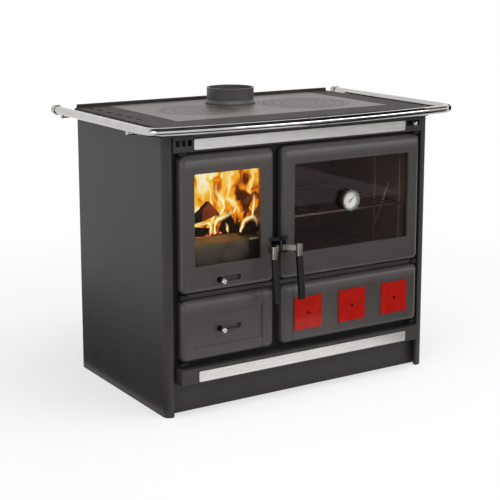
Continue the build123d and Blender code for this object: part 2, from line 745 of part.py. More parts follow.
# Top frame: a cast tray turned over, with the plate's seat and a raised lip at the back
top_half = half_width + top_overhang_side
top_y = (-top_overhang_front, body_depth + top_overhang_back)
top_frame = block((-top_half, top_half), top_y, (head_top, top_z))
uprights = top_frame.edges().filter_by(Axis.Z).sort_by(Axis.Y)
top_frame = fillet(uprights[:2], top_corner_front)
top_frame = fillet(top_frame.edges().filter_by(Axis.Z).sort_by(Axis.Y)[-2:], top_corner_back)
top_frame = fillet(top_frame.faces().sort_by(Axis.Z)[-1].edges(), top_edge_round)
under = block((-top_half + top_skirt, top_half - top_skirt), (top_y[0] + top_skirt, top_y[1] - top_skirt),
              (head_top - 1, casing_top))
under = fillet(under.edges().filter_by(Axis.Z).sort_by(Axis.Y)[:2], top_corner_front - top_skirt)
under = fillet(under.edges().filter_by(Axis.Z).sort_by(Axis.Y)[-2:], top_corner_back - top_skirt)
seat_x = (plate_left_x - plate_clearance, plate_right_x + plate_clearance)
seat_y = (plate_front_y - plate_clearance, plate_back_y + plate_clearance)
under -= block((seat_x[0] - plate_rim, seat_x[1] + plate_rim), (seat_y[0] - plate_rim, seat_y[1] + plate_rim),
               (head_top - 2, casing_top + 1))
top_frame -= under
top_frame -= block(seat_x, seat_y, (top_z - plate_thickness, top_z + 1))
top_frame -= block((seat_x[0] + plate_ledge, seat_x[1] - plate_ledge),
                   (seat_y[0] + plate_ledge, seat_y[1] - plate_ledge), (head_top - 1, top_z))
lip_y = (top_y[1] - lip_from_back - lip_thickness, top_y[1] - lip_from_back)
lip = block((-top_half + lip_inset, top_half - lip_inset), lip_y, (top_z, top_z + lip_height))
lip = fillet(lip.edges().filter_by(Axis.Z), lip_round)
lip = fillet(lip.faces().sort_by(Axis.Z)[-1].edges(), lip_round / 2)
top_frame += lip
for index in range(vent_slot_count):
    place = Pos(-top_half + vent_slot_from_edge, vent_slot_first_y + index * vent_slot_pitch, casing_top - 1)
    top_frame -= place * extrude(SlotOverall(vent_slot_length, vent_slot_width, rotation=90), top_skin + 2)
keep("top_frame", top_frame)

# Hob plate with its rings, lid and clean-out cover
hob = (hob_x, hob_y)
cover = (cover_x, cover_y)
flue = (flue_x, flue_y)
plate = block((plate_left_x, plate_right_x), (plate_front_y, plate_back_y), (top_z - plate_thickness, top_z))
plate -= seat_hole(hob_radius, hob)
plate -= seat_hole(cover_radius, cover)
plate -= rod((*flue, top_z - plate_thickness - 1), (*flue, top_z + 1), flue_hole_radius)
keep("cooktop_plate", plate)
ring_middle = (hob_radius + hob_ring_radius) / 2
keep("hob_ring_outer", stepped_disc(hob_radius, hob_ring_radius, [ring_middle], hob))
inner_middle = (hob_ring_radius + hob_lid_radius) / 2
keep("hob_ring_inner", stepped_disc(hob_ring_radius, hob_lid_radius, [inner_middle], hob))
lid_grooves = [hob_lid_radius * share for share in (0.35, 0.7)]
keep("hob_lid", stepped_disc(hob_lid_radius, 0, lid_grooves, hob, cover_hole_radius))
cover_grooves = [cover_radius * share for share in (0.3, 0.5, 0.7, 0.88)]
keep("clean_out_cover", stepped_disc(cover_radius, 0, cover_grooves, cover, cover_hole_radius))

collar_top = top_z + flue_height
cone_top = top_z + flue_flange_height + flue_cone_height
collar = turned([(flue_radius - flue_wall, top_z), (flue_flange_radius, top_z),
                 (flue_flange_radius, top_z + flue_flange_height), (flue_radius, cone_top),
                 (flue_radius, collar_top), (flue_radius - flue_wall, collar_top)], flue)
keep("flue_collar", collar)

# Rail: one bent tube with a bowed front run
bow_centre_y = rail_front_y + rail_bow_radius
corner_x = rail_half_width - rail_corner_radius
corner_y = bow_centre_y - math.sqrt((rail_bow_radius - rail_corner_radius) ** 2 - corner_x ** 2)
bow_share = rail_bow_radius / (rail_bow_radius - rail_corner_radius)
meet_x = corner_x * bow_share
meet_y = bow_centre_y + (corner_y - bow_centre_y) * bow_share
bow_angle = math.degrees(math.atan2(meet_x, bow_centre_y - meet_y))
rail_path = Wire([
    Edge.make_line((-rail_half_width, rail_end_y, rail_z), (-rail_half_width, corner_y, rail_z)),
    *[Pos(0, 0, rail_z) * arc.edge() for arc in (
        CenterArc((-corner_x, corner_y), rail_corner_radius, 180, 90 - bow_angle),
        CenterArc((0, bow_centre_y), rail_bow_radius, 270 - bow_angle, 2 * bow_angle),
        CenterArc((corner_x, corner_y), rail_corner_radius, 270 + bow_angle, 90 - bow_angle))],
    Edge.make_line((rail_half_width, corner_y, rail_z), (rail_half_width, rail_end_y, rail_z))])
rail_start = Plane(origin=(-rail_half_width, rail_end_y, rail_z), z_dir=(0, -1, 0))
rail_solid = sweep(rail_start * Circle(rail_radius), path=rail_path)
rail_bore = sweep(rail_start * Circle(rail_radius - rail_wall), path=rail_path)
keep("handrail", rail_solid - rail_bore)

knob_steps = [(0, 0), (rail_knob_collar_radius, 0), (rail_knob_collar_radius, rail_knob_collar_length),
              (rail_knob_neck_radius, rail_knob_collar_length),
              (rail_knob_neck_radius, rail_knob_collar_length + rail_knob_neck_length),
              (rail_knob_radius, rail_knob_collar_length + rail_knob_neck_length),
              (rail_knob_radius, rail_back_y - rail_end_y), (0, rail_back_y - rail_end_y)]
end_knob = turned(knob_steps, (0, 0))
end_knob = fillet(end_knob.edges().filter_by(GeomType.CIRCLE).sort_by(Axis.Z)[-1], rail_knob_round)
end_knobs = [Pos(side * rail_half_width, rail_end_y, rail_z) * Rot(-90, 0, 0) * end_knob for side in (-1, 1)]
keep("rail_end_knobs", Compound(children=end_knobs))

posts = []
bar_height = top_z - post_bar_drop
for side in (-1, 1):
    for y in (post_front_y, post_back_y):
        foot = (side * rail_half_width, y, bar_height)
        post = rod((side * top_half, y, bar_height), foot, post_bar_radius)
        post += Pos(*foot) * Sphere(post_radius)
        post += rod(foot, (side * rail_half_width, y, rail_z), post_radius)
        tube = rod((side * rail_half_width, y - 2 * post_radius, rail_z),
                   (side * rail_half_width, y + 2 * post_radius, rail_z), rail_radius)
        posts.append(post - tube)
keep("rail_posts", Compound(children=posts))

# Firebox
brick_y = (frame_back_y, frame_back_y + firebox_depth)
left_face = fire_open[0] - brick_set_back
right_face = fire_open[1] + brick_set_back
left_brick_x = (left_face - brick_thickness, left_face)
right_brick_x = (right_face, right_face + brick_thickness)
keep("firebox_left_brick", block(left_brick_x, brick_y, (firebox_floor_top, side_brick_top)))
keep("firebox_right_brick", block(right_brick_x, brick_y, (firebox_floor_top, side_brick_top)))
back_brick_y = (brick_y[1] - brick_thickness, brick_y[1])
keep("firebox_back_brick", block((left_face, right_face), back_brick_y, (firebox_floor_top, back_brick_top)))
grate_x = ((left_face + right_face - grate_width) / 2, (left_face + right_face + grate_width) / 2)
grate_y = (grate_front, grate_front + grate_length)
floor_z = (firebox_floor_top - firebox_floor_thickness, firebox_floor_top)
floor = block((-inner_half, partition_x[0]), (frame_back_y, back_face_y), floor_z)
floor -= block((grate_x[0] + grate_hole_inset, grate_x[1] - grate_hole_inset),
               (grate_y[0] + grate_hole_inset, grate_y[1] - grate_hole_inset),
               (floor_z[0] - 1, floor_z[1] + 1))
keep("firebox_floor", floor)
grate_z = (firebox_floor_top, firebox_floor_top + grate_thickness)
grate = block(grate_x, grate_y, grate_z)
slot_step = (grate_width - 2 * grate_border) / grate_slot_count
for index in range(grate_slot_count):
    x = grate_x[0] + grate_border + (index + 0.5) * slot_step
    grate -= block((x - grate_slot_width / 2, x + grate_slot_width / 2),
                   (grate_y[0] + grate_border, grate_y[1] - grate_border), (grate_z[0] - 1, grate_z[1] + 1))
keep("fire_grate", grate)

guard_x = (fire_open[0] + guard_side_gap, fire_open[1] - guard_side_gap)
guard_wall_top = firebox_floor_top + guard_height
guard = block(guard_x, (guard_front, guard_front + guard_thickness), (firebox_floor_top, guard_wall_top))
ledge = make_face(Polyline((0, guard_front, guard_wall_top), (0, guard_front, guard_wall_top + sheet),
                           (0, guard_front + guard_ledge_depth, guard_wall_top + guard_ledge_height),
                           (0, guard_front + guard_ledge_depth, guard_wall_top + guard_ledge_height - sheet),
                           (0, guard_front + guard_thickness, guard_wall_top), close=True))
guard += extrude(Pos(guard_x[0], 0, 0) * ledge, guard_x[1] - guard_x[0], dir=(1, 0, 0))
keep("log_guard", guard)

pan_x = (ash_open[0] + ash_pan_side_gap, ash_open[1] - ash_pan_side_gap)
pan_y = (frame_back_y + ash_pan_front_gap, frame_back_y + ash_pan_front_gap + ash_pan_length)
pan = block(pan_x, pan_y, (base_top, base_top + ash_pan_height))
pan -= block((pan_x[0] + ash_pan_wall, pan_x[1] - ash_pan_wall),
             (pan_y[0] + ash_pan_wall, pan_y[1] - ash_pan_wall),
             (base_top + ash_pan_wall, base_top + ash_pan_height + 1))
keep("ash_pan", pan)

# Oven
oven_in_x = (oven_open[0] + oven_reveal, oven_open[1] - oven_reveal)
oven_in_z = (upper_open[0] + oven_reveal, upper_open[1] - oven_reveal)
oven_y = (frame_back_y, frame_back_y + oven_depth)
oven = block((oven_in_x[0] - oven_wall, oven_in_x[1] + oven_wall), oven_y,
             (oven_in_z[0] - oven_wall, oven_in_z[1] + oven_wall))
oven -= block(oven_in_x, (oven_y[0] - 1, oven_y[1] - oven_wall), oven_in_z)
runner_y = (oven_y[0] + rack_front_gap, oven_y[1] - oven_wall)
runner_rows = (runner_z - runner_height, runner_z)
oven += block((oven_in_x[0], oven_in_x[0] + runner_depth), runner_y, runner_rows)
oven += block((oven_in_x[1] - runner_depth, oven_in_x[1]), runner_y, runner_rows)
keep("oven_box", oven)
rack_x = (oven_in_x[0] + rack_side_gap + rack_wire, oven_in_x[1] - rack_side_gap - rack_wire)
rack_y = (oven_y[0] + rack_front_gap + rack_wire, oven_y[1] - oven_wall - rack_back_gap - rack_wire)
rack_z = runner_z + rack_wire
rack = rod((rack_x[0], rack_y[0], rack_z), (rack_x[1], rack_y[0], rack_z), rack_wire)
rack += rod((rack_x[0], rack_y[1], rack_z), (rack_x[1], rack_y[1], rack_z), rack_wire)
for x in rack_x:
    rack += rod((x, rack_y[0], rack_z), (x, rack_y[1], rack_z), rack_wire)
    for y in rack_y:
        rack += Pos(x, y, rack_z) * Sphere(rack_wire)
for index in range(rack_bar_count):
    x = rack_x[0] + (index + 1) * (rack_x[1] - rack_x[0]) / (rack_bar_count + 1)
    rack += rod((x, rack_y[0], rack_z), (x, rack_y[1], rack_z), rack_bar)
keep("oven_rack", rack)

# Damper pull rod with its gate above the oven
knob_y = -head_panel_proud - damper_stand_off
damper = rod((damper_x, knob_y, rod_z), (damper_x, damper_gate_y, rod_z), damper_rod_radius)
damper += Pos(damper_x, knob_y, rod_z) * Sphere(damper_knob_radius)
damper += block((damper_x - damper_gate_width / 2, damper_x + damper_gate_width / 2),
                (damper_gate_y, damper_gate_y + damper_gate_thickness),
                (rod_z - damper_gate_height / 2, rod_z + damper_gate_height / 2))
keep("damper_rod", damper)
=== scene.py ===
import bpy
import bmesh
import math
from mathutils import Matrix, Vector, noise


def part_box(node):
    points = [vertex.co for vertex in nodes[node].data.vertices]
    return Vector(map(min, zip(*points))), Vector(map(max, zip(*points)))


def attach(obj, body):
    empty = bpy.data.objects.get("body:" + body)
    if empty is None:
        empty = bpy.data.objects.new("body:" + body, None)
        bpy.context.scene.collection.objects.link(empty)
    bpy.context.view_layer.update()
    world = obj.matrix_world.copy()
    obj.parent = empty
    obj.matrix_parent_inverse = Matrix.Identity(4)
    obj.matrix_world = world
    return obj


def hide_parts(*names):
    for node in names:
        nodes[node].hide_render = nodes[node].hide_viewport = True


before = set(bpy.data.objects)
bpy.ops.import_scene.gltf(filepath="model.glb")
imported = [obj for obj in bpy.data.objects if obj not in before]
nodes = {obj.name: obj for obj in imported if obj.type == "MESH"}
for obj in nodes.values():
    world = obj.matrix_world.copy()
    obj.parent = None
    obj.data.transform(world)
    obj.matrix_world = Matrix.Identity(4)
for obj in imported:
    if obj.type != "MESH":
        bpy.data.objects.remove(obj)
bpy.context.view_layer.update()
scene = bpy.context.scene
print("stage: frame loaded,", len(nodes), "nodes")

mm = 0.001  # the frame is in metres, the sizes below are in millimetres
stove = {"middleY": 246.75}  # from the drawing's zero, at the pillars' front, back to the frame's zero


def spot(x, y, z):
    return Vector((x, y - stove["middleY"], z)) / 1000


def middleOf(name):
    low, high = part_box(name)
    return Vector([(a + b) / 2 for a, b in zip(low, high)])


def topOf(name):
    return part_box(name)[1][2]


def hexColour(code):
    parts = [int(code[i:i + 2], 16) / 255 for i in (1, 3, 5)]
    linear = [p / 12.92 if p <= 0.04045 else ((p + 0.055) / 1.055) ** 2.4 for p in parts]
    return (*linear, 1.0)


def perMm(size):
    return 1000 / size  # texture scale whose features are about this many millimetres


def addNode(mat, kind, inputs=None, stops=None, **settings):
    node = mat.node_tree.nodes.new("ShaderNode" + kind)
    for key, value in settings.items():
        setattr(node, key, value)
    for key, value in (inputs or {}).items():
        if isinstance(value, bpy.types.NodeSocket):
            mat.node_tree.links.new(value, node.inputs[key])
        else:
            node.inputs[key].default_value = value
    if stops:
        while len(node.color_ramp.elements) < len(stops):
            node.color_ramp.elements.new(0.5)
        for element, (place, code) in zip(node.color_ramp.elements, stops):
            element.position = place
            element.color = hexColour(code)
    return node


def wire(mat, out, shader, socket):
    mat.node_tree.links.new(out, shader.inputs[socket])


def startFinish(name, sockets):
    mat = bpy.data.materials.new(name)
    mat.use_nodes = True
    shader = mat.node_tree.nodes["Principled BSDF"]
    for key, value in sockets.items():
        shader.inputs[key].default_value = value
    place = addNode(mat, "TexCoord").outputs["Object"]
    return mat, shader, place


def patternLook(mat, shader, pattern, tones=None, between=(0.3, 0.7), rough=None, skin=None):
    # one pattern drives the colour between two tones, the roughness and a fine relief
    colour = None
    if tones:
        ramp = addNode(mat, "ValToRGB", {"Fac": pattern}, stops=list(zip(between, tones)))
        colour = ramp.outputs["Color"]
        wire(mat, colour, shader, "Base Color")
    if rough:
        spread = addNode(mat, "MapRange", {"Value": pattern, "To Min": rough[0], "To Max": rough[1]})
        wire(mat, spread.outputs["Result"], shader, "Roughness")
    if skin:
        bump = addNode(mat, "Bump", {"Height": pattern, "Strength": skin[0], "Distance": skin[1] * mm})
        wire(mat, bump.outputs["Normal"], shader, "Normal")
    return colour


# sheet steel and castings in sprayed anthracite enamel: a satin dark grey that rolls off softly, with a
# faint orange-peel grain, and on the doors a broad roll along the upper edge that catches the light
doorRoll = {"wide": 42, "deep": 10}


def makeBodyEnamel(name, dark, light, roughness, gloss, rollTop=None):
    mat, shader, place = startFinish(name, {"IOR": 1.5, "Coat Weight": gloss / 3, "Coat Roughness": 0.3,
                                            "Specular IOR Level": gloss})
    cloud = addNode(mat, "TexNoise", {"Vector": place, "Scale": perMm(90), "Detail": 3.0})
    grain = addNode(mat, "TexNoise", {"Vector": place, "Scale": perMm(2.4),  # 0.6 mm drawn coarser
                                      "Detail": 2.0})
    both = addNode(mat, "Math", {0: cloud.outputs["Fac"], 1: grain.outputs["Fac"], 2: 0.12},
                   operation="MULTIPLY_ADD")
    patternLook(mat, shader, both.outputs[0], (dark, light), between=(0.2, 0.6))
    patternLook(mat, shader, cloud.outputs["Fac"], rough=(roughness - 0.05, roughness + 0.06))
    peel = addNode(mat, "Bump", {"Height": grain.outputs["Fac"], "Strength": 0.05, "Distance": 0.4 * mm})
    if rollTop:
        split = addNode(mat, "SeparateXYZ", {"Vector": place})
        near = addNode(mat, "MapRange", {"Value": split.outputs["Z"], "From Max": rollTop,
                                         "From Min": rollTop - doorRoll["wide"] * mm})
        lean = addNode(mat, "Math", {0: near.outputs["Result"], 1: 2.0}, operation="POWER")
        back = addNode(mat, "Math", {0: lean.outputs[0], 1: -doorRoll["deep"] * mm}, operation="MULTIPLY")
        roll = addNode(mat, "Bump", {"Height": back.outputs[0], "Strength": 1.0, "Distance": 1.0})
        wire(mat, roll.outputs["Normal"], peel, "Normal")
    wire(mat, peel.outputs["Normal"], shader, "Normal")
    return mat


doorTones = ("#3a3635", "#44403e", 0.38, 0.5)
collarPaint = makeBodyEnamel("castIronHeatPaintCollar", "#444142", "#4e4b4b", 0.44, 0.35)
bodyEnamel = makeBodyEnamel("anthraciteEnamelSprayed", "#33302f", "#3d3938", 0.46, 0.25)
doorEnamel = makeBodyEnamel("castIronEnamelAnthracite", *doorTones)
upperEnamel = makeBodyEnamel("castIronEnamelUpperDoors", *doorTones, topOf("oven_door"))
lowerEnamel = makeBodyEnamel("castIronEnamelLowerDoors", *doorTones, topOf("store_door"))


# cast iron in matt black stove paint: almost no shine, a fine sandy skin
blackPaint, shader, place = startFinish("castIronStovePaintBlack", {"Specular IOR Level": 0.3})
sand = addNode(blackPaint, "TexNoise", {"Vector": place, "Scale": perMm(3), "Detail": 4.0})
patternLook(blackPaint, shader, sand.outputs["Fac"], ("#0e0d0d", "#1b1918"), rough=(0.5, 0.7),
            skin=(0.15, 0.4))


# cast iron frame in dark grey heat paint: satin, with soft casting waves
topPaint, shader, place = startFinish("castIronHeatPaintGrey", {"Specular IOR Level": 0.06})
waves = addNode(topPaint, "TexNoise", {"Vector": place, "Scale": perMm(55), "Detail": 2.0})
sand = addNode(topPaint, "TexNoise", {"Vector": place, "Scale": perMm(2.5), "Detail": 3.0})
patternLook(topPaint, shader, waves.outputs["Fac"], ("#332f2d", "#3e3a38"))
patternLook(topPaint, shader, sand.outputs["Fac"], rough=(0.5, 0.65), skin=(0.1, 0.4))


# ground cast iron: bare grey metal, fine grinding lines along the plate, slight tarnish in patches;
# turned pieces also have concentric lathe grooves, their shade painted in as dark rings drawn wider than the
# tool mark
grooveShade = {"pitch": 14, "share": 0.32, "colour": "#1d1a18"}


def makeHobIron(name, turnedNode, dark, light):
    mat, shader, place = startFinish(name, {"Metallic": 0.55})
    turn = addNode(mat, "Mapping", {"Vector": place, "Scale": (0.12, 1.0, 1.0)})
    lines = addNode(mat, "TexNoise", {"Vector": turn.outputs["Vector"], "Scale": perMm(1.5), "Detail": 3.0})
    patch = addNode(mat, "TexNoise", {"Vector": place, "Scale": perMm(120), "Detail": 4.0})
    plain = patternLook(mat, shader, patch.outputs["Fac"], (dark, light))
    patternLook(mat, shader, lines.outputs["Fac"], rough=(0.36, 0.52), skin=(0.08, 0.3))
    if turnedNode:
        centre = middleOf(turnedNode)
        centre.z = topOf(turnedNode)
        away = addNode(mat, "VectorMath", {0: place, 1: centre}, operation="DISTANCE")
        turns = addNode(mat, "Math", {0: away.outputs["Value"], 1: perMm(grooveShade["pitch"])},
                        operation="MULTIPLY")
        saw = addNode(mat, "Math", {0: turns.outputs[0]}, operation="FRACT")
        ring = addNode(mat, "MapRange", {"Value": saw.outputs[0], "From Max": grooveShade["share"],
                                         "To Min": 1.0, "To Max": 0.1})
        # painted shade: dark rings round the piece's centre at the groove pitch
        grooveShaded = addNode(mat, "MixRGB", {"Fac": ring.outputs["Result"], "Color1": plain,
                                        "Color2": hexColour(grooveShade["colour"])})
        wire(mat, grooveShaded.outputs["Color"], shader, "Base Color")
    return mat


hobIron = makeHobIron("castIronGround", None, "#5a5551", "#6a6560")
hobTurned = makeHobIron("castIronTurnedHob", "hob_lid", "#534e4a", "#625d58")
coverTurned = makeHobIron("castIronTurnedCover", "clean_out_cover", "#4f4a46", "#5d5853")


# stainless strip brushed along its length: long hairlines, pale and soft
brushedSteel, shader, place = startFinish("stainlessSteelBrushed", {"Metallic": 0.9})
turn = addNode(brushedSteel, "Mapping", {"Vector": place, "Scale": (0.02, 1.0, 1.0)})
hair = addNode(brushedSteel, "TexNoise", {"Vector": turn.outputs["Vector"], "Scale": perMm(1.2),
                                          "Detail": 4.0})
patternLook(brushedSteel, shader, hair.outputs["Fac"], ("#d2cecb", "#ecebe8"), rough=(0.3, 0.45),
            skin=(0.1, 0.2))


# polished plate: mirror bright over long soft polishing waves
def makePlated(name, dark, light, low, high):
    mat, shader, place = startFinish(name, {"Metallic": 1.0})
    marks = addNode(mat, "TexNoise", {"Vector": place, "Scale": perMm(70), "Detail": 2.0})
    patternLook(mat, shader, marks.outputs["Fac"], (dark, light), rough=(low, high))
    return mat


chrome = makePlated("steelChromePolished", "#b9b7b5", "#c6c4c2", 0.06, 0.11)
nickel = makePlated("steelNickelSatin", "#a09a92", "#b8b2aa", 0.2, 0.32)
zinc = makePlated("steelZincPlated", "#7a7a7a", "#8c8c8c", 0.3, 0.45)
bezelNickel = makePlated("steelNickelBezel", "#a8a5a1", "#bcb9b5", 0.18, 0.28)
blackOxide = makePlated("steelBlackOxide", "#1c1b1a", "#2a2827", 0.35, 0.5)


# the lever's arm: the same nickel, its hub dark above the arm, where it turns between the bracket's ears
leverHub = {"z": (471, 472), "colour": "#141312"}
leverNickel = makePlated("steelNickelSatinArm", "#8f8981", "#a59f97", 0.24, 0.36)
shader = leverNickel.node_tree.nodes["Principled BSDF"]
plate = shader.inputs["Base Color"].links[0].from_socket
place = addNode(leverNickel, "TexCoord").outputs["Object"]
split = addNode(leverNickel, "SeparateXYZ", {"Vector": place})
hub = addNode(leverNickel, "MapRange", {"Value": split.outputs["Z"], "From Min": leverHub["z"][0] * mm,
                                        "From Max": leverHub["z"][1] * mm})
hubDark = addNode(leverNickel, "MixRGB", {"Fac": hub.outputs["Result"], "Color1": plate,
                                        "Color2": hexColour(leverHub["colour"])})
wire(leverNickel, hubDark.outputs["Color"], shader, "Base Color")


# moulded phenolic grip: near black, smooth, with a soft broad sheen
gripPlastic, shader, place = startFinish("phenolicMouldedBlack", {"Specular IOR Level": 0.25,
                                                                  "Coat Weight": 0.05, "Coat Roughness": 0.2})
flow = addNode(gripPlastic, "TexNoise", {"Vector": place, "Scale": perMm(20), "Detail": 3.0})
patternLook(gripPlastic, shader, flow.outputs["Fac"], ("#0e0c0b", "#191614"), rough=(0.3, 0.4))


# vitreous enamel fired red: deep gloss, a slight ripple in the glaze
redEnamel, shader, place = startFinish("vitreousEnamelRed", {"Specular IOR Level": 0.1, "Coat Weight": 0.35,
                                                             "Coat Roughness": 0.05})
ripple = addNode(redEnamel, "TexNoise", {"Vector": place, "Scale": perMm(30), "Detail": 3.0})
patternLook(redEnamel, shader, ripple.outputs["Fac"], ("#9c0f07", "#ab160c"), rough=(0.18, 0.3),
            skin=(0.06, 1.0))


# drawn glass: clear for the fire, brown tinted for the oven, with faint wipe marks in the gloss
def makeGlass(name, tint, mirror, low, high):
    mat, shader, place = startFinish(name, {"IOR": 1.45, "Transmission Weight": 1.0,
                                            "Base Color": hexColour(tint),
                                            "Specular Tint": hexColour(mirror)})
    wipe = addNode(mat, "TexNoise", {"Vector": place, "Scale": perMm(60), "Detail": 3.0})
    patternLook(mat, shader, wipe.outputs["Fac"], rough=(low, high))
    through = addNode(mat, "BsdfTransparent", {"Color": hexColour(tint)})
    path = addNode(mat, "LightPath")
    mixed = addNode(mat, "MixShader", {0: path.outputs["Is Shadow Ray"], 1: shader.outputs["BSDF"],
                                       2: through.outputs["BSDF"]})  # lets lamp light through
    wire(mat, mixed.outputs["Shader"], mat.node_tree.nodes["Material Output"], "Surface")
    return mat


fireGlass = makeGlass("glassCeramicClear", "#f2efe9", "#4c4a48", 0.0, 0.02)
ovenGlass = makeGlass("temperedGlassBrown", "#d8cdc4", "#a8969a", 0.0, 0.01)


# pressed glass lens: clear in front, a thin white edge where it turns away, a painted reflection
lensGlass, shader, place = startFinish("pressedGlassLens", {"Base Color": hexColour("#f4f4f2"),
                                                            "Roughness": 0.05, "Specular IOR Level": 0.3})
smear = addNode(lensGlass, "TexNoise", {"Vector": place, "Scale": perMm(12), "Detail": 2.0})
edge = addNode(lensGlass, "LayerWeight", {"Blend": 0.25})
# painted reflection: the lens turns opaque white towards its edge
edgeGlint = addNode(lensGlass, "MapRange", {"Value": edge.outputs["Facing"], "To Min": 0.03, "To Max": 0.45})
veil = addNode(lensGlass, "Math", {0: smear.outputs["Fac"], 1: 0.04, 2: edgeGlint.outputs["Result"]},
               operation="MULTIPLY_ADD")
wire(lensGlass, veil.outputs[0], shader, "Alpha")


# braided glass-fibre rope: off-white with crossing strands
rope, shader, place = startFinish("glassFibreRopeBraided", {"Roughness": 0.9, "Specular IOR Level": 0.2})
strand = addNode(rope, "TexWave", {"Vector": place, "Scale": perMm(9), "Distortion": 2.0, "Detail": 2.0},
                 bands_direction="DIAGONAL")
patternLook(rope, shader, strand.outputs["Fac"], ("#8f8a80", "#c4bfb3"), between=(0.2, 0.8), skin=(0.6, 1.0))


# pressed vermiculite board: tan with glinting flakes, sooted in clouds
fireBoard, shader, place = startFinish("vermiculiteBoardPressed", {"Roughness": 0.9})
flake = addNode(fireBoard, "TexVoronoi", {"Vector": place, "Scale": perMm(5)})
soot = addNode(fireBoard, "TexNoise", {"Vector": place, "Scale": perMm(110), "Detail": 4.0})
tan = patternLook(fireBoard, shader, flake.outputs["Distance"], ("#b99a6c", "#7d6443"), between=(0.1, 0.7),
                  skin=(0.4, 1.0))
share = addNode(fireBoard, "MapRange", {"Value": soot.outputs["Fac"], "From Min": 0.4, "From Max": 0.65})
black = addNode(fireBoard, "MixRGB", {"Fac": share.outputs["Result"], "Color1": tan,
                                      "Color2": hexColour("#1d1712")})
wire(fireBoard, black.outputs["Color"], shader, "Base Color")


# oven enamel: dark brown-grey, glossy, faintly speckled, darker below the rack as painted shade
ovenRackShade = {"z": (500, 560), "share": 0.75, "colour": "#443e3d"}
ovenEnamel, shader, place = startFinish("ovenEnamelSpeckled", {"Roughness": 0.3})
speck = addNode(ovenEnamel, "TexNoise", {"Vector": place, "Scale": perMm(4), "Detail": 1.0})
plain = patternLook(ovenEnamel, shader, speck.outputs["Fac"], ("#6e6463", "#7e7372"), between=(0.55, 0.78))
split = addNode(ovenEnamel, "SeparateXYZ", {"Vector": place})
# painted shade: the enamel darkens from the rack's height downwards
low = addNode(ovenEnamel, "MapRange", {"Value": split.outputs["Z"], "From Min": ovenRackShade["z"][0] * mm,
                                       "From Max": ovenRackShade["z"][1] * mm, "To Min": ovenRackShade["share"],
                                       "To Max": 0.0})
shadedBelowRack = addNode(ovenEnamel, "MixRGB", {"Fac": low.outputs["Result"], "Color1": plain,
                                       "Color2": hexColour(ovenRackShade["colour"])})
wire(ovenEnamel, shadedBelowRack.outputs["Color"], shader, "Base Color")


# drawn steel wire, chromed and dulled by baking: grey with straw-brown stains
wireSteel, shader, place = startFinish("steelWireChromeBaked", {"Metallic": 0.2})
stain = addNode(wireSteel, "TexNoise", {"Vector": place, "Scale": perMm(35), "Detail": 3.0})
patternLook(wireSteel, shader, stain.outputs["Fac"], ("#b5b0aa", "#8f8378"), between=(0.35, 0.7),
            rough=(0.25, 0.5))


# the rack's wire: a painted highlight on the front bar, fading into the brown-black towards its right end,
# and the bars behind it left brown-black as painted shade
rackLitFront = {"barBackY": (36.95, 37.95), "fadeX": (200, 250), "bright": "#807a75"}
rackSteel, shader, place = startFinish("steelWireRackStainedLitFront", {"Specular IOR Level": 0.1})
split = addNode(rackSteel, "SeparateXYZ", {"Vector": place})
stain = addNode(rackSteel, "TexNoise", {"Vector": place, "Scale": perMm(30), "Detail": 3.0})
brown = patternLook(rackSteel, shader, stain.outputs["Fac"], ("#433b38", "#534945"), between=(0.35, 0.7),
                    rough=(0.35, 0.6))
# painted highlight on the front bar, gone behind it and towards the right end
barFrom, barTo = [spot(0, y, 0).y for y in rackLitFront["barBackY"]]
deep = addNode(rackSteel, "MapRange", {"Value": split.outputs["Y"], "From Min": barFrom, "From Max": barTo})
fadeRight = addNode(rackSteel, "MapRange", {"Value": split.outputs["X"], "From Min": rackLitFront["fadeX"][0] * mm,
                                       "From Max": rackLitFront["fadeX"][1] * mm})
offHighlight = addNode(rackSteel, "Math", {0: deep.outputs["Result"], 1: fadeRight.outputs["Result"]},
               operation="MAXIMUM")
tone = addNode(rackSteel, "MixRGB", {"Fac": offHighlight.outputs[0], "Color1": hexColour(rackLitFront["bright"]),
                                     "Color2": brown})
wire(rackSteel, tone.outputs["Color"], shader, "Base Color")


# steel guard: golden brown along its upper ledge as painted firelight, smoke grey below, wiped unevenly
guardFirelight = {"z": (470, 494)}
guardSteel, shader, place = startFinish("steelPlateFirelitLedge", {"Roughness": 0.5, "Metallic": 0.3})
split = addNode(guardSteel, "SeparateXYZ", {"Vector": place})
smoke = addNode(guardSteel, "TexNoise", {"Vector": place, "Scale": perMm(40), "Detail": 4.0})
# painted firelight: the upper ledge's band mixes to golden brown
high = addNode(guardSteel, "MapRange", {"Value": split.outputs["Z"], "From Min": guardFirelight["z"][0] * mm,
                                        "From Max": guardFirelight["z"][1] * mm})
firelitGold = patternLook(guardSteel, shader, smoke.outputs["Fac"], ("#4d4028", "#66573a"))
grey = patternLook(guardSteel, shader, smoke.outputs["Fac"], ("#2b2825", "#47423c"))
tint = addNode(guardSteel, "MixRGB", {"Fac": high.outputs["Result"], "Color1": grey, "Color2": firelitGold})
wire(guardSteel, tint.outputs["Color"], shader, "Base Color")


# printed metal dial: matt white with a faint paper-like tone, a grey band at the rim in the bezel's shade
gauge = {"dialY": -23, "bandRadius": (22.5, 23.5), "markRadius": 19.5, "marks": 25, "longEvery": 4,
         "longMark": (0.9, 0.2, 5.0), "shortMark": (0.5, 0.2, 2.6), "swing": (-120, 120), "lensY": -27.2,
         "lensRadius": 27.6, "lensRise": 3.0, "lensProfile": ((0, 1), (0.5, 0.8), (0.85, 0.35), (1, 0)),
         "lensBack": 0.5}


def gaugeSpot(y):
    middle = middleOf("gauge_case")
    return Vector((middle.x, spot(0, y, 0).y, middle.z))


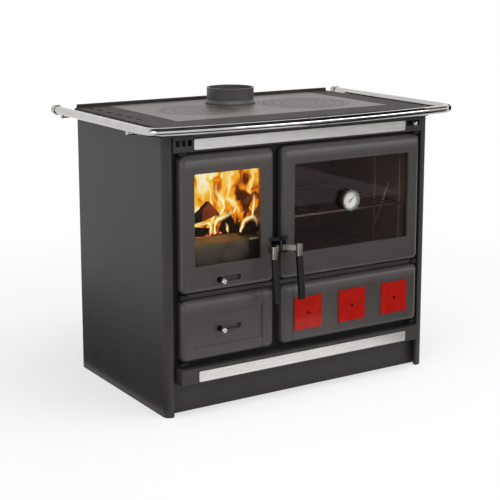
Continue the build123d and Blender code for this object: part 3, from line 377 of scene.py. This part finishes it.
dialWhite, shader, place = startFinish("aluminiumDialPrinted", {"Roughness": 0.55})
paper = addNode(dialWhite, "TexNoise", {"Vector": place, "Scale": perMm(8), "Detail": 2.0})
plain = patternLook(dialWhite, shader, paper.outputs["Fac"], ("#e2e0da", "#efeee9"))
away = addNode(dialWhite, "VectorMath", {0: place, 1: gaugeSpot(gauge["dialY"])}, operation="DISTANCE")
rim = addNode(dialWhite, "MapRange", {"Value": away.outputs["Value"],
                                      "From Min": gauge["bandRadius"][0] * mm,
                                      "From Max": gauge["bandRadius"][1] * mm})
banded = addNode(dialWhite, "MixRGB", {"Fac": rim.outputs["Result"], "Color1": plain,
                                       "Color2": hexColour("#77746f")})
wire(dialWhite, banded.outputs["Color"], shader, "Base Color")


# split firewood: brown scorched end grain on the sawn ends, black cracked char along the sides
def makeWood(name, dark, light, crackDepth):
    mat, shader, place = startFinish(name, {"Roughness": 0.9, "Specular IOR Level": 0.2})
    turn = addNode(mat, "Mapping", {"Vector": place, "Scale": (1.0, 0.15, 1.0)})
    grain = addNode(mat, "TexNoise", {"Vector": turn.outputs["Vector"], "Scale": perMm(9), "Detail": 5.0})
    char = addNode(mat, "TexVoronoi", {"Vector": place, "Scale": perMm(16)}, feature="DISTANCE_TO_EDGE")
    patternLook(mat, shader, grain.outputs["Fac"], (dark, light))
    patternLook(mat, shader, char.outputs["Distance"], skin=(0.7, crackDepth))
    return mat


endGrain = makeWood("beechEndGrainScorched", "#4a2008", "#7a3c14", 1.0)
firewood = makeWood("beechFirewoodCharred", "#080503", "#1c0f07", 4.0)


# burning charcoal: black lumps with orange light in the cracks
embers, shader, place = startFinish("charcoalEmbersBurning", {"Roughness": 0.95, "Emission Strength": 3.0})
crack = addNode(embers, "TexVoronoi", {"Vector": place, "Scale": perMm(11)}, feature="DISTANCE_TO_EDGE")
heat = addNode(embers, "TexNoise", {"Vector": place, "Scale": perMm(25), "Detail": 2.0})
glow = addNode(embers, "ValToRGB", {"Fac": crack.outputs["Distance"]},
               stops=[(0.0, "#ff9a2a"), (0.06, "#c23c05"), (0.16, "#000000")])
lit = addNode(embers, "MapRange", {"Value": heat.outputs["Fac"], "From Min": 0.45, "From Max": 0.65})
hot = addNode(embers, "MixRGB", {"Fac": lit.outputs["Result"], "Color1": hexColour("#000000"),
                                 "Color2": glow.outputs["Color"]})
wire(embers, hot.outputs["Color"], shader, "Emission Color")
patternLook(embers, shader, heat.outputs["Fac"], ("#0c0a09", "#3c3733"), between=(0.4, 0.75))


# flame: glowing gas, white-yellow round its hot heart, orange and brown in the folds away from it
gasSockets = {"Roughness": 1.0, "Specular IOR Level": 0.0, "Base Color": hexColour("#000000")}
flameStops = [(0.3, "#2a0e02"), (0.4, "#6e2c06"), (0.48, "#c4600a"), (0.58, "#f08e12"), (0.7, "#ffbe34"),
              (0.84, "#ffe788"), (1.0, "#fffae0")]


def makeFlame(name, heart, reach, strength):
    mat, shader, place = startFinish(name, {**gasSockets, "Emission Strength": strength})
    sway = addNode(mat, "TexNoise", {"Vector": place, "Scale": perMm(85), "Detail": 2.0})
    drift = addNode(mat, "VectorMath", {0: sway.outputs["Color"], "Scale": 0.1}, operation="SCALE")
    moved = addNode(mat, "VectorMath", {0: place, 1: drift.outputs["Vector"]}, operation="ADD")
    tall = addNode(mat, "Mapping", {"Vector": moved.outputs["Vector"], "Scale": (1.0, 1.0, 0.3)})
    lick = addNode(mat, "TexNoise", {"Vector": tall.outputs["Vector"], "Scale": perMm(31), "Detail": 3.0,
                                     "Roughness": 0.5, "Distortion": 0.6})
    away = addNode(mat, "VectorMath", {0: place, 1: heart}, operation="DISTANCE")
    warm = addNode(mat, "MapRange", {"Value": away.outputs["Value"], "From Min": reach * 0.2 * mm,
                                     "From Max": reach * mm, "To Min": 0.3, "To Max": -0.1})
    keen = addNode(mat, "MapRange", {"Value": lick.outputs["Fac"], "From Min": 0.32, "From Max": 0.68,
                                     "To Min": 0.22, "To Max": 0.84})
    full = addNode(mat, "Math", {0: keen.outputs["Result"], 1: warm.outputs["Result"]}, operation="ADD")
    colour = addNode(mat, "ValToRGB", {"Fac": full.outputs[0]}, stops=flameStops)
    wire(mat, colour.outputs["Color"], shader, "Emission Color")
    solid = addNode(mat, "MapRange", {"Value": full.outputs[0], "From Min": 0.22, "From Max": 0.34})
    wire(mat, solid.outputs["Result"], shader, "Alpha")
    return mat


flameBack = makeFlame("flameGasDeep", spot(-300, 330, 640), 350, 0.9)
flameMain = makeFlame("flameGasBright", spot(-302, 66, 680), 195, 1.0)


# flame ribbon: a bright core across its width, orange at the edge, gone at the rim
flameRibbon, shader, place = startFinish("flameGasRibbon", {**gasSockets, "Emission Strength": 1.1})
strip = addNode(flameRibbon, "UVMap").outputs["UV"]
across = addNode(flameRibbon, "SeparateXYZ", {"Vector": strip})
waver = addNode(flameRibbon, "TexNoise", {"Vector": place, "Scale": perMm(14), "Detail": 2.0})
off = addNode(flameRibbon, "Math", {0: across.outputs["X"], 1: 0.5}, operation="SUBTRACT")
side = addNode(flameRibbon, "Math", {0: off.outputs[0]}, operation="ABSOLUTE")
edge = addNode(flameRibbon, "Math", {0: waver.outputs["Fac"], 1: 0.35, 2: side.outputs[0]},
               operation="MULTIPLY_ADD")
colour = addNode(flameRibbon, "ValToRGB", {"Fac": edge.outputs[0]},
                 stops=[(0.2, "#fffbe2"), (0.34, "#ffe07c"), (0.46, "#ffb02a"), (0.6, "#f28a14")])
wire(flameRibbon, colour.outputs["Color"], shader, "Emission Color")
rim = addNode(flameRibbon, "MapRange", {"Value": edge.outputs[0], "From Min": 0.3, "From Max": 0.62,
                                        "To Min": 1.0, "To Max": 0.0})
tip = addNode(flameRibbon, "MapRange", {"Value": across.outputs["Y"], "From Min": 0.45, "From Max": 1.0,
                                        "To Min": 1.0, "To Max": 0.1})
solid = addNode(flameRibbon, "Math", {0: rim.outputs["Result"], 1: tip.outputs["Result"]},
                operation="MULTIPLY")
wire(flameRibbon, solid.outputs[0], shader, "Alpha")
print("stage: finishes made")

finishOf = {
    bodyEnamel: ["left_side_panel", "right_side_panel", "back_panel", "plinth", "upper_front_panel",
                 "lower_front_band"],
    upperEnamel: ["fire_door", "oven_door"],
    lowerEnamel: ["ash_door", "store_door", "lower_stiles"],
    blackPaint: ["front_frame", "fire_grate", "fire_latch_bracket", "oven_latch_bracket", "base_plate",
                 "centre_partition", "firebox_floor", "ash_pan"],
    guardSteel: ["log_guard"],
    topPaint: ["top_frame"],
    collarPaint: ["flue_collar"],
    hobIron: ["cooktop_plate"],
    hobTurned: ["hob_ring_outer", "hob_ring_inner", "hob_lid"],
    coverTurned: ["clean_out_cover"],
    brushedSteel: ["upper_trim_strip", "lower_trim_strip"],
    chrome: ["handrail", "rail_end_knobs", "rail_posts", "fire_air_slider", "ash_air_slider", "damper_rod"],
    bezelNickel: ["gauge_case"],
    rackSteel: ["oven_rack"],
    leverNickel: ["fire_lever_arm", "oven_lever_arm"],
    nickel: ["fire_lever_cap", "oven_lever_cap"],
    zinc: ["fire_glass_clips", "oven_glass_clips"],
    blackOxide: ["tile_screws", "hinge_pins"],
    gripPlastic: ["fire_lever_grip", "oven_lever_grip", "gauge_needle"],
    fireGlass: ["fire_door_glass"],
    ovenGlass: ["oven_door_glass"],
    rope: ["fire_door_seal", "oven_door_seal"],
    fireBoard: ["firebox_left_brick", "firebox_right_brick", "firebox_back_brick"],
    redEnamel: ["red_tiles"],
    ovenEnamel: ["oven_box"],
    dialWhite: ["gauge_dial"],
}
for finish, names in finishOf.items():
    for name in names:
        nodes[name].data.materials.clear()
        nodes[name].data.materials.append(finish)
print("stage: finishes on the CAD nodes")


def addObject(name, bm, mat, smooth):
    mesh = bpy.data.meshes.new(name)
    bm.to_mesh(mesh)
    bm.free()
    for face in mesh.polygons:
        face.use_smooth = smooth
    mesh.materials.append(mat)
    thing = bpy.data.objects.new(name, mesh)
    scene.collection.objects.link(thing)
    return thing


def finishPiece(name, bm, mat, body, smooth=True):
    piece = addObject(name, bm, mat, smooth)
    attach(piece, body)
    return piece


def addBox(bm, place, size):
    bmesh.ops.create_cube(bm, size=mm, matrix=place @ Matrix.Diagonal((*size, 1)))


def addBoxBetween(bm, box):
    # box between the x, y and z limits that a dictionary gives
    middle = spot(*[sum(box[axis]) / 2 for axis in "xyz"])
    addBox(bm, Matrix.Translation(middle), [box[axis][1] - box[axis][0] for axis in "xyz"])


def addRod(bm, place, radius, length, segments):
    bmesh.ops.create_cone(bm, cap_ends=True, segments=segments, radius1=radius, radius2=radius, depth=length,
                          matrix=place)


def softenEdges(bm, edges, offset, segments):
    bmesh.ops.bevel(bm, geom=edges, offset=offset * mm, segments=segments, affect="EDGES", profile=0.5,
                    material=-1)


def drawOut(bm, faces, run):
    # extrudes faces along a run in millimetres
    drawn = bmesh.ops.extrude_face_region(bm, geom=faces)
    fresh = [v for v in drawn["geom"] if isinstance(v, bmesh.types.BMVert)]
    bmesh.ops.translate(bm, vec=Vector(run) / 1000, verts=fresh)


# split logs: the end's outline drawn out to a length, its edges broken and its skin roughened
logSkin = {"edge": 2, "cuts": 5, "lumpsPerMetre": 60, "lump": 1.6}
logPile = {
    "triangleLog": {"end": [(-312, 547), (-254, 564), (-289, 607), (-312, 587)], "y": 60, "run": (-8, 8, 0),
                    "mat": firewood},
    "shadedLog": {"end": [(-362, 541), (-312, 547), (-312, 587), (-362, 552)], "y": 61, "run": (-12, 60, -6),
                  "mat": firewood},
    "underLog": {"end": [(-362, 506), (-276, 500), (-280, 524), (-330, 533), (-362, 528)], "y": 64,
                 "run": (-20, 180, -20), "mat": firewood},
    "middleLog": {"end": [(-262, 500), (-196, 498), (-204, 540), (-222, 566), (-240, 544)], "y": 62,
                  "run": (20, 200, 8), "mat": firewood},
    "rightLog": {"end": [(-206, 506), (-141, 506), (-141, 530), (-160, 538), (-196, 528)], "y": 27,
                 "run": (0, 200, 6), "mat": firewood},
    "coalLump": {"end": [(-304, 500), (-246, 498), (-250, 511), (-275, 516), (-298, 512)], "y": 57,
                 "run": (-6, 40, -4), "mat": embers},
}
for name, log in logPile.items():
    bm = bmesh.new()
    end = bm.faces.new([bm.verts.new(spot(x, log["y"], z)) for x, z in log["end"]])
    drawOut(bm, [end], log["run"])
    bmesh.ops.recalc_face_normals(bm, faces=bm.faces)
    softenEdges(bm, bm.edges[:], logSkin["edge"], 1)
    for face in bm.faces:
        face.material_index = 1 if face.normal.y < -0.9 and name == "triangleLog" else 0
    bmesh.ops.triangulate(bm, faces=bm.faces[:])
    bmesh.ops.subdivide_edges(bm, edges=bm.edges[:], cuts=logSkin["cuts"], use_grid_fill=True)
    for v in bm.verts:
        v.co += noise.noise_vector(v.co * logSkin["lumpsPerMetre"]) * logSkin["lump"] * mm
    piece = finishPiece(name, bm, log["mat"], "stove_body", smooth=False)
    piece.data.materials.append(endGrain)

# ember bed: a low mound of lumps behind the guard
emberBed = {"middle": (-270, 205, 388), "half": (122, 128, 40), "underside": -0.05,
            "lumps": ((5, 0.16), (14, 0.08))}
bm = bmesh.new()
bmesh.ops.create_icosphere(bm, subdivisions=5, radius=1.0)
half = Vector(emberBed["half"]) / 1000
for v in bm.verts:
    lump = 1 + sum(height * noise.noise(v.co * pitch) for pitch, height in emberBed["lumps"])
    v.co = Vector((v.co.x * half.x, v.co.y * half.y, max(v.co.z, emberBed["underside"]) * half.z * lump))
bmesh.ops.translate(bm, vec=spot(*emberBed["middle"]), verts=bm.verts)
finishPiece("emberBed", bm, embers, "stove_body")

# flames: rippled curtains of burning gas behind the logs; the main one curls towards the door at its
# upper right
curlShape = {"across": 0.5, "from": -0.34, "over": 0.2, "slant": 9}
flameCurtains = {
    "flameBack": {"x": (-396, -146), "y": 330, "z": (430, 770), "ripple": 26, "waves": 1.6, "curl": 0,
                  "mat": flameBack},
    "flameMain": {"x": (-402, -140), "y": 70, "z": (507, 738), "ripple": 4, "waves": 2.3, "curl": 42,
                  "mat": flameMain},
}


def within(share):
    return min(max(share, 0), 1)


for name, sheet in flameCurtains.items():
    wide = (sheet["x"][1] - sheet["x"][0]) * mm
    tall = (sheet["z"][1] - sheet["z"][0]) * mm
    bm = bmesh.new()
    bmesh.ops.create_grid(bm, x_segments=36, y_segments=24, size=0.5)
    bmesh.ops.scale(bm, vec=(wide, tall, 1), verts=bm.verts)
    bmesh.ops.rotate(bm, matrix=Matrix.Rotation(math.pi / 2, 3, "X"), verts=bm.verts)
    for v in bm.verts:
        turn = v.co.x / wide * 2 * math.pi * sheet["waves"] + v.co.z * curlShape["slant"]
        v.co.y += math.sin(turn) * sheet["ripple"] * mm
        rise = within(v.co.x / wide / curlShape["across"])
        rise *= within((v.co.z / tall - curlShape["from"]) / curlShape["over"])
        v.co.y -= rise * rise * (3 - 2 * rise) * sheet["curl"] * mm
    middle = spot(sum(sheet["x"]) / 2, sheet["y"], sum(sheet["z"]) / 2)
    bmesh.ops.translate(bm, vec=middle, verts=bm.verts)
    finishPiece(name, bm, sheet["mat"], "stove_body")

# flame ribbons curling before and between the logs, widest in the middle of their run
ribbonShape = {"steps": 8, "root": 0.06, "swell": 0.6, "tip": 0.02, "sway": 1.2, "swayTurn": 0.5}
flameRibbons = {
    "tongueLeft": {"path": [(-256, 560), (-245, 582), (-247, 601), (-259, 617), (-271, 636), (-268, 660)],
                   "wide": 28, "y": 56},
    "archLeft": {"path": [(-273, 508), (-274, 536), (-264, 550), (-242, 556), (-221, 565), (-213, 584)],
                 "wide": 24, "y": 56},
    "postLeft": {"path": [(-230, 508), (-233, 524), (-237, 540)], "wide": 14, "y": 56},
    "lowLeft": {"path": [(-290, 508), (-288, 530), (-297, 543), (-319, 541), (-347, 535)], "wide": 17,
                "y": 56},
    "archRight": {"path": [(-209, 512), (-204, 527), (-193, 545), (-170, 553), (-156, 543), (-150, 517)],
                  "wide": 22, "y": 22},
    "tallRight": {"path": [(-167, 552), (-165, 580), (-161, 604), (-163, 630)], "wide": 16, "y": 22},
    "tallMiddle": {"path": [(-212, 560), (-203, 580), (-206, 600), (-214, 622)], "wide": 20, "y": 56},
}


def smoothPath(points, steps):
    # a curve through all the points, with its ends carried on straight
    path = [2 * points[0] - points[1]] + points + [2 * points[-1] - points[-2]]
    curve = []
    for before, here, ahead, beyond in zip(path, path[1:], path[2:], path[3:]):
        for j in range(steps):
            t = j / steps
            curve.append(0.5 * (2 * here + (ahead - before) * t
                                + (2 * before - 5 * here + 4 * ahead - beyond) * t * t
                                + (3 * here - before - 3 * ahead + beyond) * t ** 3))
    return curve


for name, ribbon in flameRibbons.items():
    curve = smoothPath([Vector((x, 0, z)) for x, z in ribbon["path"]], ribbonShape["steps"])
    last = len(curve) - 1
    bm = bmesh.new()
    uv = bm.loops.layers.uv.new("across")
    rows = []
    for i, point in enumerate(curve):
        ahead = curve[min(i + 1, last)] - curve[max(i - 1, 0)]
        out = Vector((ahead.z, 0, -ahead.x)).normalized() * ribbon["wide"] / 2
        swell = math.sin(math.pi * (ribbonShape["root"] + (1 - ribbonShape["root"]) * i / last))
        out *= swell ** ribbonShape["swell"] if i < last else ribbonShape["tip"]
        deep = ribbon["y"] + ribbonShape["sway"] * math.sin(i * ribbonShape["swayTurn"])
        rows.append([bm.verts.new(spot(p.x, deep, p.z)) for p in (point - out, point, point + out)])
    for i, (below, above) in enumerate(zip(rows, rows[1:])):
        low, high = i / last, (i + 1) / last
        for a, b in ((0, 1), (1, 2)):
            face = bm.faces.new([below[a], below[b], above[b], above[a]])
            corners = ((a / 2, low), (b / 2, low), (b / 2, high), (a / 2, high))
            for loop, corner in zip(face.loops, corners):
                loop[uv].uv = corner
    finishPiece(name, bm, flameRibbon, "stove_body")

# hook plate on the guard's right end: a dark plate with a bent lip in light steel, standing in for the
# highlight on it
guardHook = {"x": (-178, -147), "y": (20.6, 23.6), "z": (440, 486), "lip": (0, -1, 5), "edge": 0.6,
             "highlightFrom": 0.6}
bm = bmesh.new()
addBoxBetween(bm, guardHook)
top = [f for f in bm.faces if f.normal.z > 0.9]
drawOut(bm, top, guardHook["lip"])
bmesh.ops.delete(bm, geom=[f for f in top if f.is_valid], context="FACES_ONLY")
softenEdges(bm, [e for e in bm.edges if not e.is_boundary], guardHook["edge"], 2)
# painted highlight: the lip's faces take the light steel
lipZ = (guardHook["z"][1] + guardHook["highlightFrom"]) * mm
for face in bm.faces:
    face.material_index = 1 if face.calc_center_median().z > lipZ else 0
hook = finishPiece("guardHook", bm, blackPaint, "stove_body", smooth=False)
hook.data.materials.append(wireSteel)
print("stage: fire laid")

# baffle that keeps the fire's glow out of the warm-air slots beside the hob
glowBaffle = {"x": (-408, -405), "y": (24, 440), "z": (733, 808), "edge": 0.5}
bm = bmesh.new()
addBoxBetween(bm, glowBaffle)
softenEdges(bm, bm.edges[:], glowBaffle["edge"], 2)
finishPiece("glowBaffle", bm, blackPaint, "stove_body", smooth=False)

# thermometer: scale marks and a domed lens over the dial
bm = bmesh.new()
first, final = gauge["swing"]
for i in range(gauge["marks"]):
    swing = math.radians(first + (final - first) * i / (gauge["marks"] - 1))
    size = gauge["longMark"] if i % gauge["longEvery"] == 0 else gauge["shortMark"]
    addBox(bm, Matrix.Translation(gaugeSpot(gauge["dialY"])) @ Matrix.Rotation(swing, 4, "Y")
           @ Matrix.Translation((0, 0, gauge["markRadius"] * mm)), size)
finishPiece("gaugeMarks", bm, gripPlastic, "oven_door", smooth=False)
bm = bmesh.new()
rim = [bm.verts.new((gauge["lensRadius"] * out * mm, 0, gauge["lensRise"] * up * mm))
       for out, up in gauge["lensProfile"]]
rim.append(bm.verts.new((0, 0, -gauge["lensBack"] * mm)))
edges = [bm.edges.new((a, b)) for a, b in zip(rim, rim[1:])]
bmesh.ops.spin(bm, geom=rim + edges, cent=(0, 0, 0), axis=(0, 0, 1), angle=2 * math.pi, steps=40,
               use_merge=True)
bmesh.ops.remove_doubles(bm, verts=bm.verts, dist=1e-6)
bmesh.ops.recalc_face_normals(bm, faces=bm.faces)
lensPlace = Matrix.Translation(gaugeSpot(gauge["lensY"])) @ Matrix.Rotation(math.pi / 2, 4, "X")
bmesh.ops.transform(bm, matrix=lensPlace, verts=bm.verts)
finishPiece("gaugeLens", bm, lensGlass, "oven_door")
print("stage: thermometer dressed")

# oven side racks: a pegged upright, a plain one and a slanting stay by each wall
sideRack = {"x": (-52, 388), "upright": (378, 738), "pegY": 160, "pegZ": (420, 690), "pegs": 10,
            "pegReach": 5, "radius": 1.6, "plainY": 36, "stay": ((90, 590), (165, 428)), "stayRadius": 3.0}
bm = bmesh.new()
for x in sideRack["x"]:
    inward = math.copysign(sideRack["pegReach"], -x)
    foot, head = sideRack["upright"]
    rods = [((x, y, foot), (x, y, head), sideRack["radius"]) for y in (sideRack["pegY"], sideRack["plainY"])]
    stayFoot, stayHead = [(x, *end) for end in sideRack["stay"]]
    rods.append((stayFoot, stayHead, sideRack["stayRadius"]))
    lowPeg, highPeg = sideRack["pegZ"]
    for i in range(sideRack["pegs"]):
        z = lowPeg + (highPeg - lowPeg) * i / (sideRack["pegs"] - 1)
        rods.append(((x, sideRack["pegY"], z), (x + inward, sideRack["pegY"], z), sideRack["radius"]))
    for start, end, radius in rods:
        start, end = spot(*start), spot(*end)
        line = end - start
        lay = Matrix.Translation((start + end) / 2) @ line.to_track_quat("Z", "Y").to_matrix().to_4x4()
        addRod(bm, lay, radius * mm, line.length, 10)
finishPiece("ovenSideRacks", bm, wireSteel, "stove_body")
print("stage: oven dressed")

# air slots: a rolled bead round each slot, from its inner foot over the crown to its outer foot
slotBead = {"x": -271, "z": {"fire_door": 392, "ash_door": 248.25}, "length": 82, "height": 19, "front": -18,
            "steps": 32, "profile": ((0.0, 0.2), (0.5, -1.0), (1.6, -1.3), (2.8, 0.2))}
half = slotBead["height"] / 2
run = slotBead["length"] / 2 - half
for body, z in slotBead["z"].items():
    bm = bmesh.new()
    loops = []
    for out, deep in slotBead["profile"]:
        loop = []
        for i in range(slotBead["steps"]):
            swing = 2 * math.pi * i / slotBead["steps"]
            x = slotBead["x"] + math.copysign(run, math.cos(swing)) + (half + out) * math.cos(swing)
            loop.append(bm.verts.new(spot(x, slotBead["front"] + deep, z + (half + out) * math.sin(swing))))
        loops.append([bm.edges.new((a, b)) for a, b in zip(loop, loop[1:] + loop[:1])])
    for inner, outer in zip(loops, loops[1:]):
        bmesh.ops.bridge_loops(bm, edges=inner + outer)
    bmesh.ops.recalc_face_normals(bm, faces=bm.faces)
    finishPiece(body + "SlotBead", bm, doorEnamel, body)

# shutters behind the slots are enamelled like the doors, the rosettes black, the knobs stay bright
airSlider = {"nodes": ("fire_air_slider", "ash_air_slider"), "shutterFrom": -17, "rosetteFrom": -34}
shutterY, rosetteY = [spot(0, airSlider[key], 0).y for key in ("shutterFrom", "rosetteFrom")]
for name in airSlider["nodes"]:
    mesh = nodes[name].data
    mesh.materials.append(doorEnamel)
    mesh.materials.append(blackOxide)
    for face in mesh.polygons:
        face.material_index = 1 if face.center.y > shutterY else 2 if face.center.y > rosetteY else 0
print("stage: air slots dressed")

# the frame's cross bars stand forward between the doors and are enamelled like the casing
crossBars = {"front": 0, "halfWidth": 390}
mesh = nodes["front_frame"].data
mesh.materials.append(bodyEnamel)
for face in mesh.polygons:
    forward = face.center.y < spot(0, crossBars["front"], 0).y
    face.material_index = 1 if forward and abs(face.center.x) < crossBars["halfWidth"] * mm else 0

# rail joints: a dark ring where each end of the joint sleeve meets the tube
railJoint = {"x": (-43, 16.5), "y": -83.8, "z": 833, "radius": 12.7, "width": 1.4}
bm = bmesh.new()
for x in railJoint["x"]:
    lay = Matrix.Translation(spot(x, railJoint["y"], railJoint["z"])) @ Matrix.Rotation(math.pi / 2, 4, "Y")
    addRod(bm, lay, railJoint["radius"] * mm, railJoint["width"] * mm, 40)
finishPiece("railJoints", bm, blackOxide, "stove_body")
print("stage: rail dressed")

# tiles: pressed plates with soft edges, standing in for the plain CAD plates
tiles = {"count": 3, "edge": 1.2}
low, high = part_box("red_tiles")
wide, thick, tall = [(b - a) / mm for a, b in zip(low, high)]
bm = bmesh.new()
for i in range(tiles["count"]):
    middle = middleOf("red_tiles")
    middle.x = low[0] + (tall / 2 + (wide - tall) * i / (tiles["count"] - 1)) * mm  # the tiles are square
    addBox(bm, Matrix.Translation(middle), (tall, thick, tall))
softenEdges(bm, bm.edges[:], tiles["edge"], 4)
redTiles = finishPiece("redTiles", bm, redEnamel, "store_door", smooth=False)
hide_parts("red_tiles")
print("stage: tiles pressed")


def seenShare(owner):
    # one for rays from the camera, in the gloss and through glass, nothing for light that falls on the stove
    path = addNode(owner, "LightPath")
    seen = addNode(owner, "Math", {0: path.outputs["Is Camera Ray"], 1: path.outputs["Is Glossy Ray"]},
                   operation="MAXIMUM")
    either = addNode(owner, "Math", {0: seen.outputs[0], 1: path.outputs["Is Transmission Ray"]},
                     operation="MAXIMUM")
    return either.outputs[0]


# floor: pale paint that takes a soft shadow near the stove and is plain white far off
floorPlane = {"half": 30.0, "fade": (0.7, 2.2), "white": (0.6, 1.0)}
floorPaint, shader, place = startFinish("floorPaintPale", {"Base Color": hexColour("#fafafa"),
                                                           "Roughness": 0.9})
away = addNode(floorPaint, "VectorMath", {0: place}, operation="LENGTH")
fade = addNode(floorPaint, "MapRange", {"Value": away.outputs["Value"], "From Min": floorPlane["fade"][0],
                                        "From Max": floorPlane["fade"][1], "To Min": floorPlane["white"][0],
                                        "To Max": floorPlane["white"][1]})
share = addNode(floorPaint, "Math", {0: seenShare(floorPaint), 1: fade.outputs["Result"]},
                operation="MULTIPLY")
white = addNode(floorPaint, "Emission", {"Color": hexColour("#ffffff"), "Strength": 1.0})
mixed = addNode(floorPaint, "MixShader", {0: share.outputs[0], 1: shader.outputs["BSDF"],
                                          2: white.outputs["Emission"]})
wire(floorPaint, mixed.outputs["Shader"], floorPaint.node_tree.nodes["Material Output"], "Surface")
bm = bmesh.new()
bmesh.ops.create_grid(bm, x_segments=1, y_segments=1, size=floorPlane["half"])
floor = addObject("floor", bm, floorPaint, False)

# world: white where it is seen, dimmer as a light
studio = {"light": 0.42}
world = bpy.data.worlds.new("studioWhite")
world.use_nodes = True
scene.world = world
dim = world.node_tree.nodes["Background"]
dim.inputs["Color"].default_value = hexColour("#ffffff")
dim.inputs["Strength"].default_value = studio["light"]
white = addNode(world, "Background", {"Color": hexColour("#ffffff"), "Strength": 1.0})
mixed = addNode(world, "MixShader", {0: seenShare(world), 1: dim.outputs["Background"],
                                     2: white.outputs["Background"]})
wire(world, mixed.outputs["Shader"], world.node_tree.nodes["World Output"], "Surface")

# dark cards seen only in the gloss: above the front and the rail, low behind the camera, beside the rail's
# right corner, and on the floor before and beside the stove (metres and degrees)
darkCards = {
    "cardAbove": {"middle": (0, -4.6, 6.0), "size": (20, 9)},
    "cardLow": {"middle": (4.6, -3.5, 0.75), "size": (4.8, 0.8), "tilt": 90},
    "cardRight": {"middle": (3.65, -3.7, 0.011), "size": (2.7, 2.6)},
    "cardNear": {"middle": (1.1, -0.8, 0.012), "size": (1.2, 0.7)},
    "cardRail": {"middle": (0, -0.36, 1.03), "size": (1.2, 0.34)},
    "cardCorner": {"middle": (1.43, 0.1, 0.85), "size": (1.1, 0.7), "tilt": 90, "turn": 90},
    "cardFloor": {"middle": (1.2, -1.75, 0.01), "size": (6, 1.7)},
    "cardSide": {"middle": (-0.7, 0.4, 0.01), "size": (0.44, 1.8)},
}
# black cotton cloth: takes nearly all light and gives no shine
cardCloth, shader, place = startFinish("cottonClothBlack", {"Base Color": hexColour("#161616"),
                                                            "Roughness": 0.95})
for name, card in darkCards.items():
    turn = Matrix.Rotation(math.radians(card.get("turn", 0)), 4, "Z")
    tilt = Matrix.Rotation(math.radians(card.get("tilt", 0)), 4, "X")
    lay = Matrix.Translation(card["middle"]) @ turn @ tilt @ Matrix.Diagonal((*card["size"], 1, 1))
    bm = bmesh.new()
    bmesh.ops.create_grid(bm, x_segments=1, y_segments=1, size=0.5, matrix=lay)
    holder = addObject(name, bm, cardCloth, False)
    holder.visible_camera = False
    holder.visible_diffuse = False
    holder.visible_shadow = False
    holder.visible_transmission = False

lamps = {
    "topSoftbox": {"place": (0.1, -0.9, 3.4), "aim": (0, 0, 0.7), "size": (3.0, 2.0), "power": 75},
    "leftSoftbox": {"place": (-3.4, -2.2, 2.2), "aim": (0, 0, 0.5), "size": (1.6, 2.2), "power": 22},
    "frontSoftbox": {"place": (2.5, -3.3, 2.1), "aim": (0, 0, 0.6), "size": (2.8, 0.7), "power": 34},
}
for name, lamp in lamps.items():
    light = bpy.data.lights.new(name, "AREA")
    light.shape = "RECTANGLE"
    light.size, light.size_y = lamp["size"]
    light.energy = lamp["power"]
    holder = bpy.data.objects.new(name, light)
    holder.location = lamp["place"]
    holder.rotation_euler = (Vector(lamp["aim"]) - Vector(lamp["place"])).to_track_quat("-Z", "Y").to_euler()
    scene.collection.objects.link(holder)

# the fire's own light inside the firebox
fireGlow = {"place": (-260, 45, 650), "power": 1.2, "colour": "#ffa24a", "radius": 50}
glowLight = bpy.data.lights.new("fireGlow", "POINT")
glowLight.energy = fireGlow["power"]
glowLight.color = hexColour(fireGlow["colour"])[:3]
glowLight.shadow_soft_size = fireGlow["radius"] * mm
glowHolder = bpy.data.objects.new("fireGlow", glowLight)
glowHolder.location = spot(*fireGlow["place"])
scene.collection.objects.link(glowHolder)
glowHolder.visible_camera = False
glowHolder.visible_glossy = False
glowHolder.visible_transmission = False

# camera solved from the photo's straight lines: focal length and the row of its axis are in pixels
photoCamera = {"place": (-2119.3, -3053, 1310), "yaw": 0.5639, "pitch": 0.184, "focal": 1276.5,
               "axisRow": 190, "image": 500, "sensor": 36}
camData = bpy.data.cameras.new("photoCamera")
camData.lens = photoCamera["focal"] / photoCamera["image"] * photoCamera["sensor"]
camData.sensor_width = photoCamera["sensor"]
camData.shift_y = (photoCamera["axisRow"] - photoCamera["image"] / 2) / photoCamera["image"]
camera = bpy.data.objects.new("photoCamera", camData)
camera.location = spot(*photoCamera["place"])
camera.rotation_euler = (math.pi / 2 - photoCamera["pitch"], 0, -photoCamera["yaw"])
scene.collection.objects.link(camera)
scene.camera = camera
scene.view_settings.view_transform = "Standard"
print("stage: studio set")
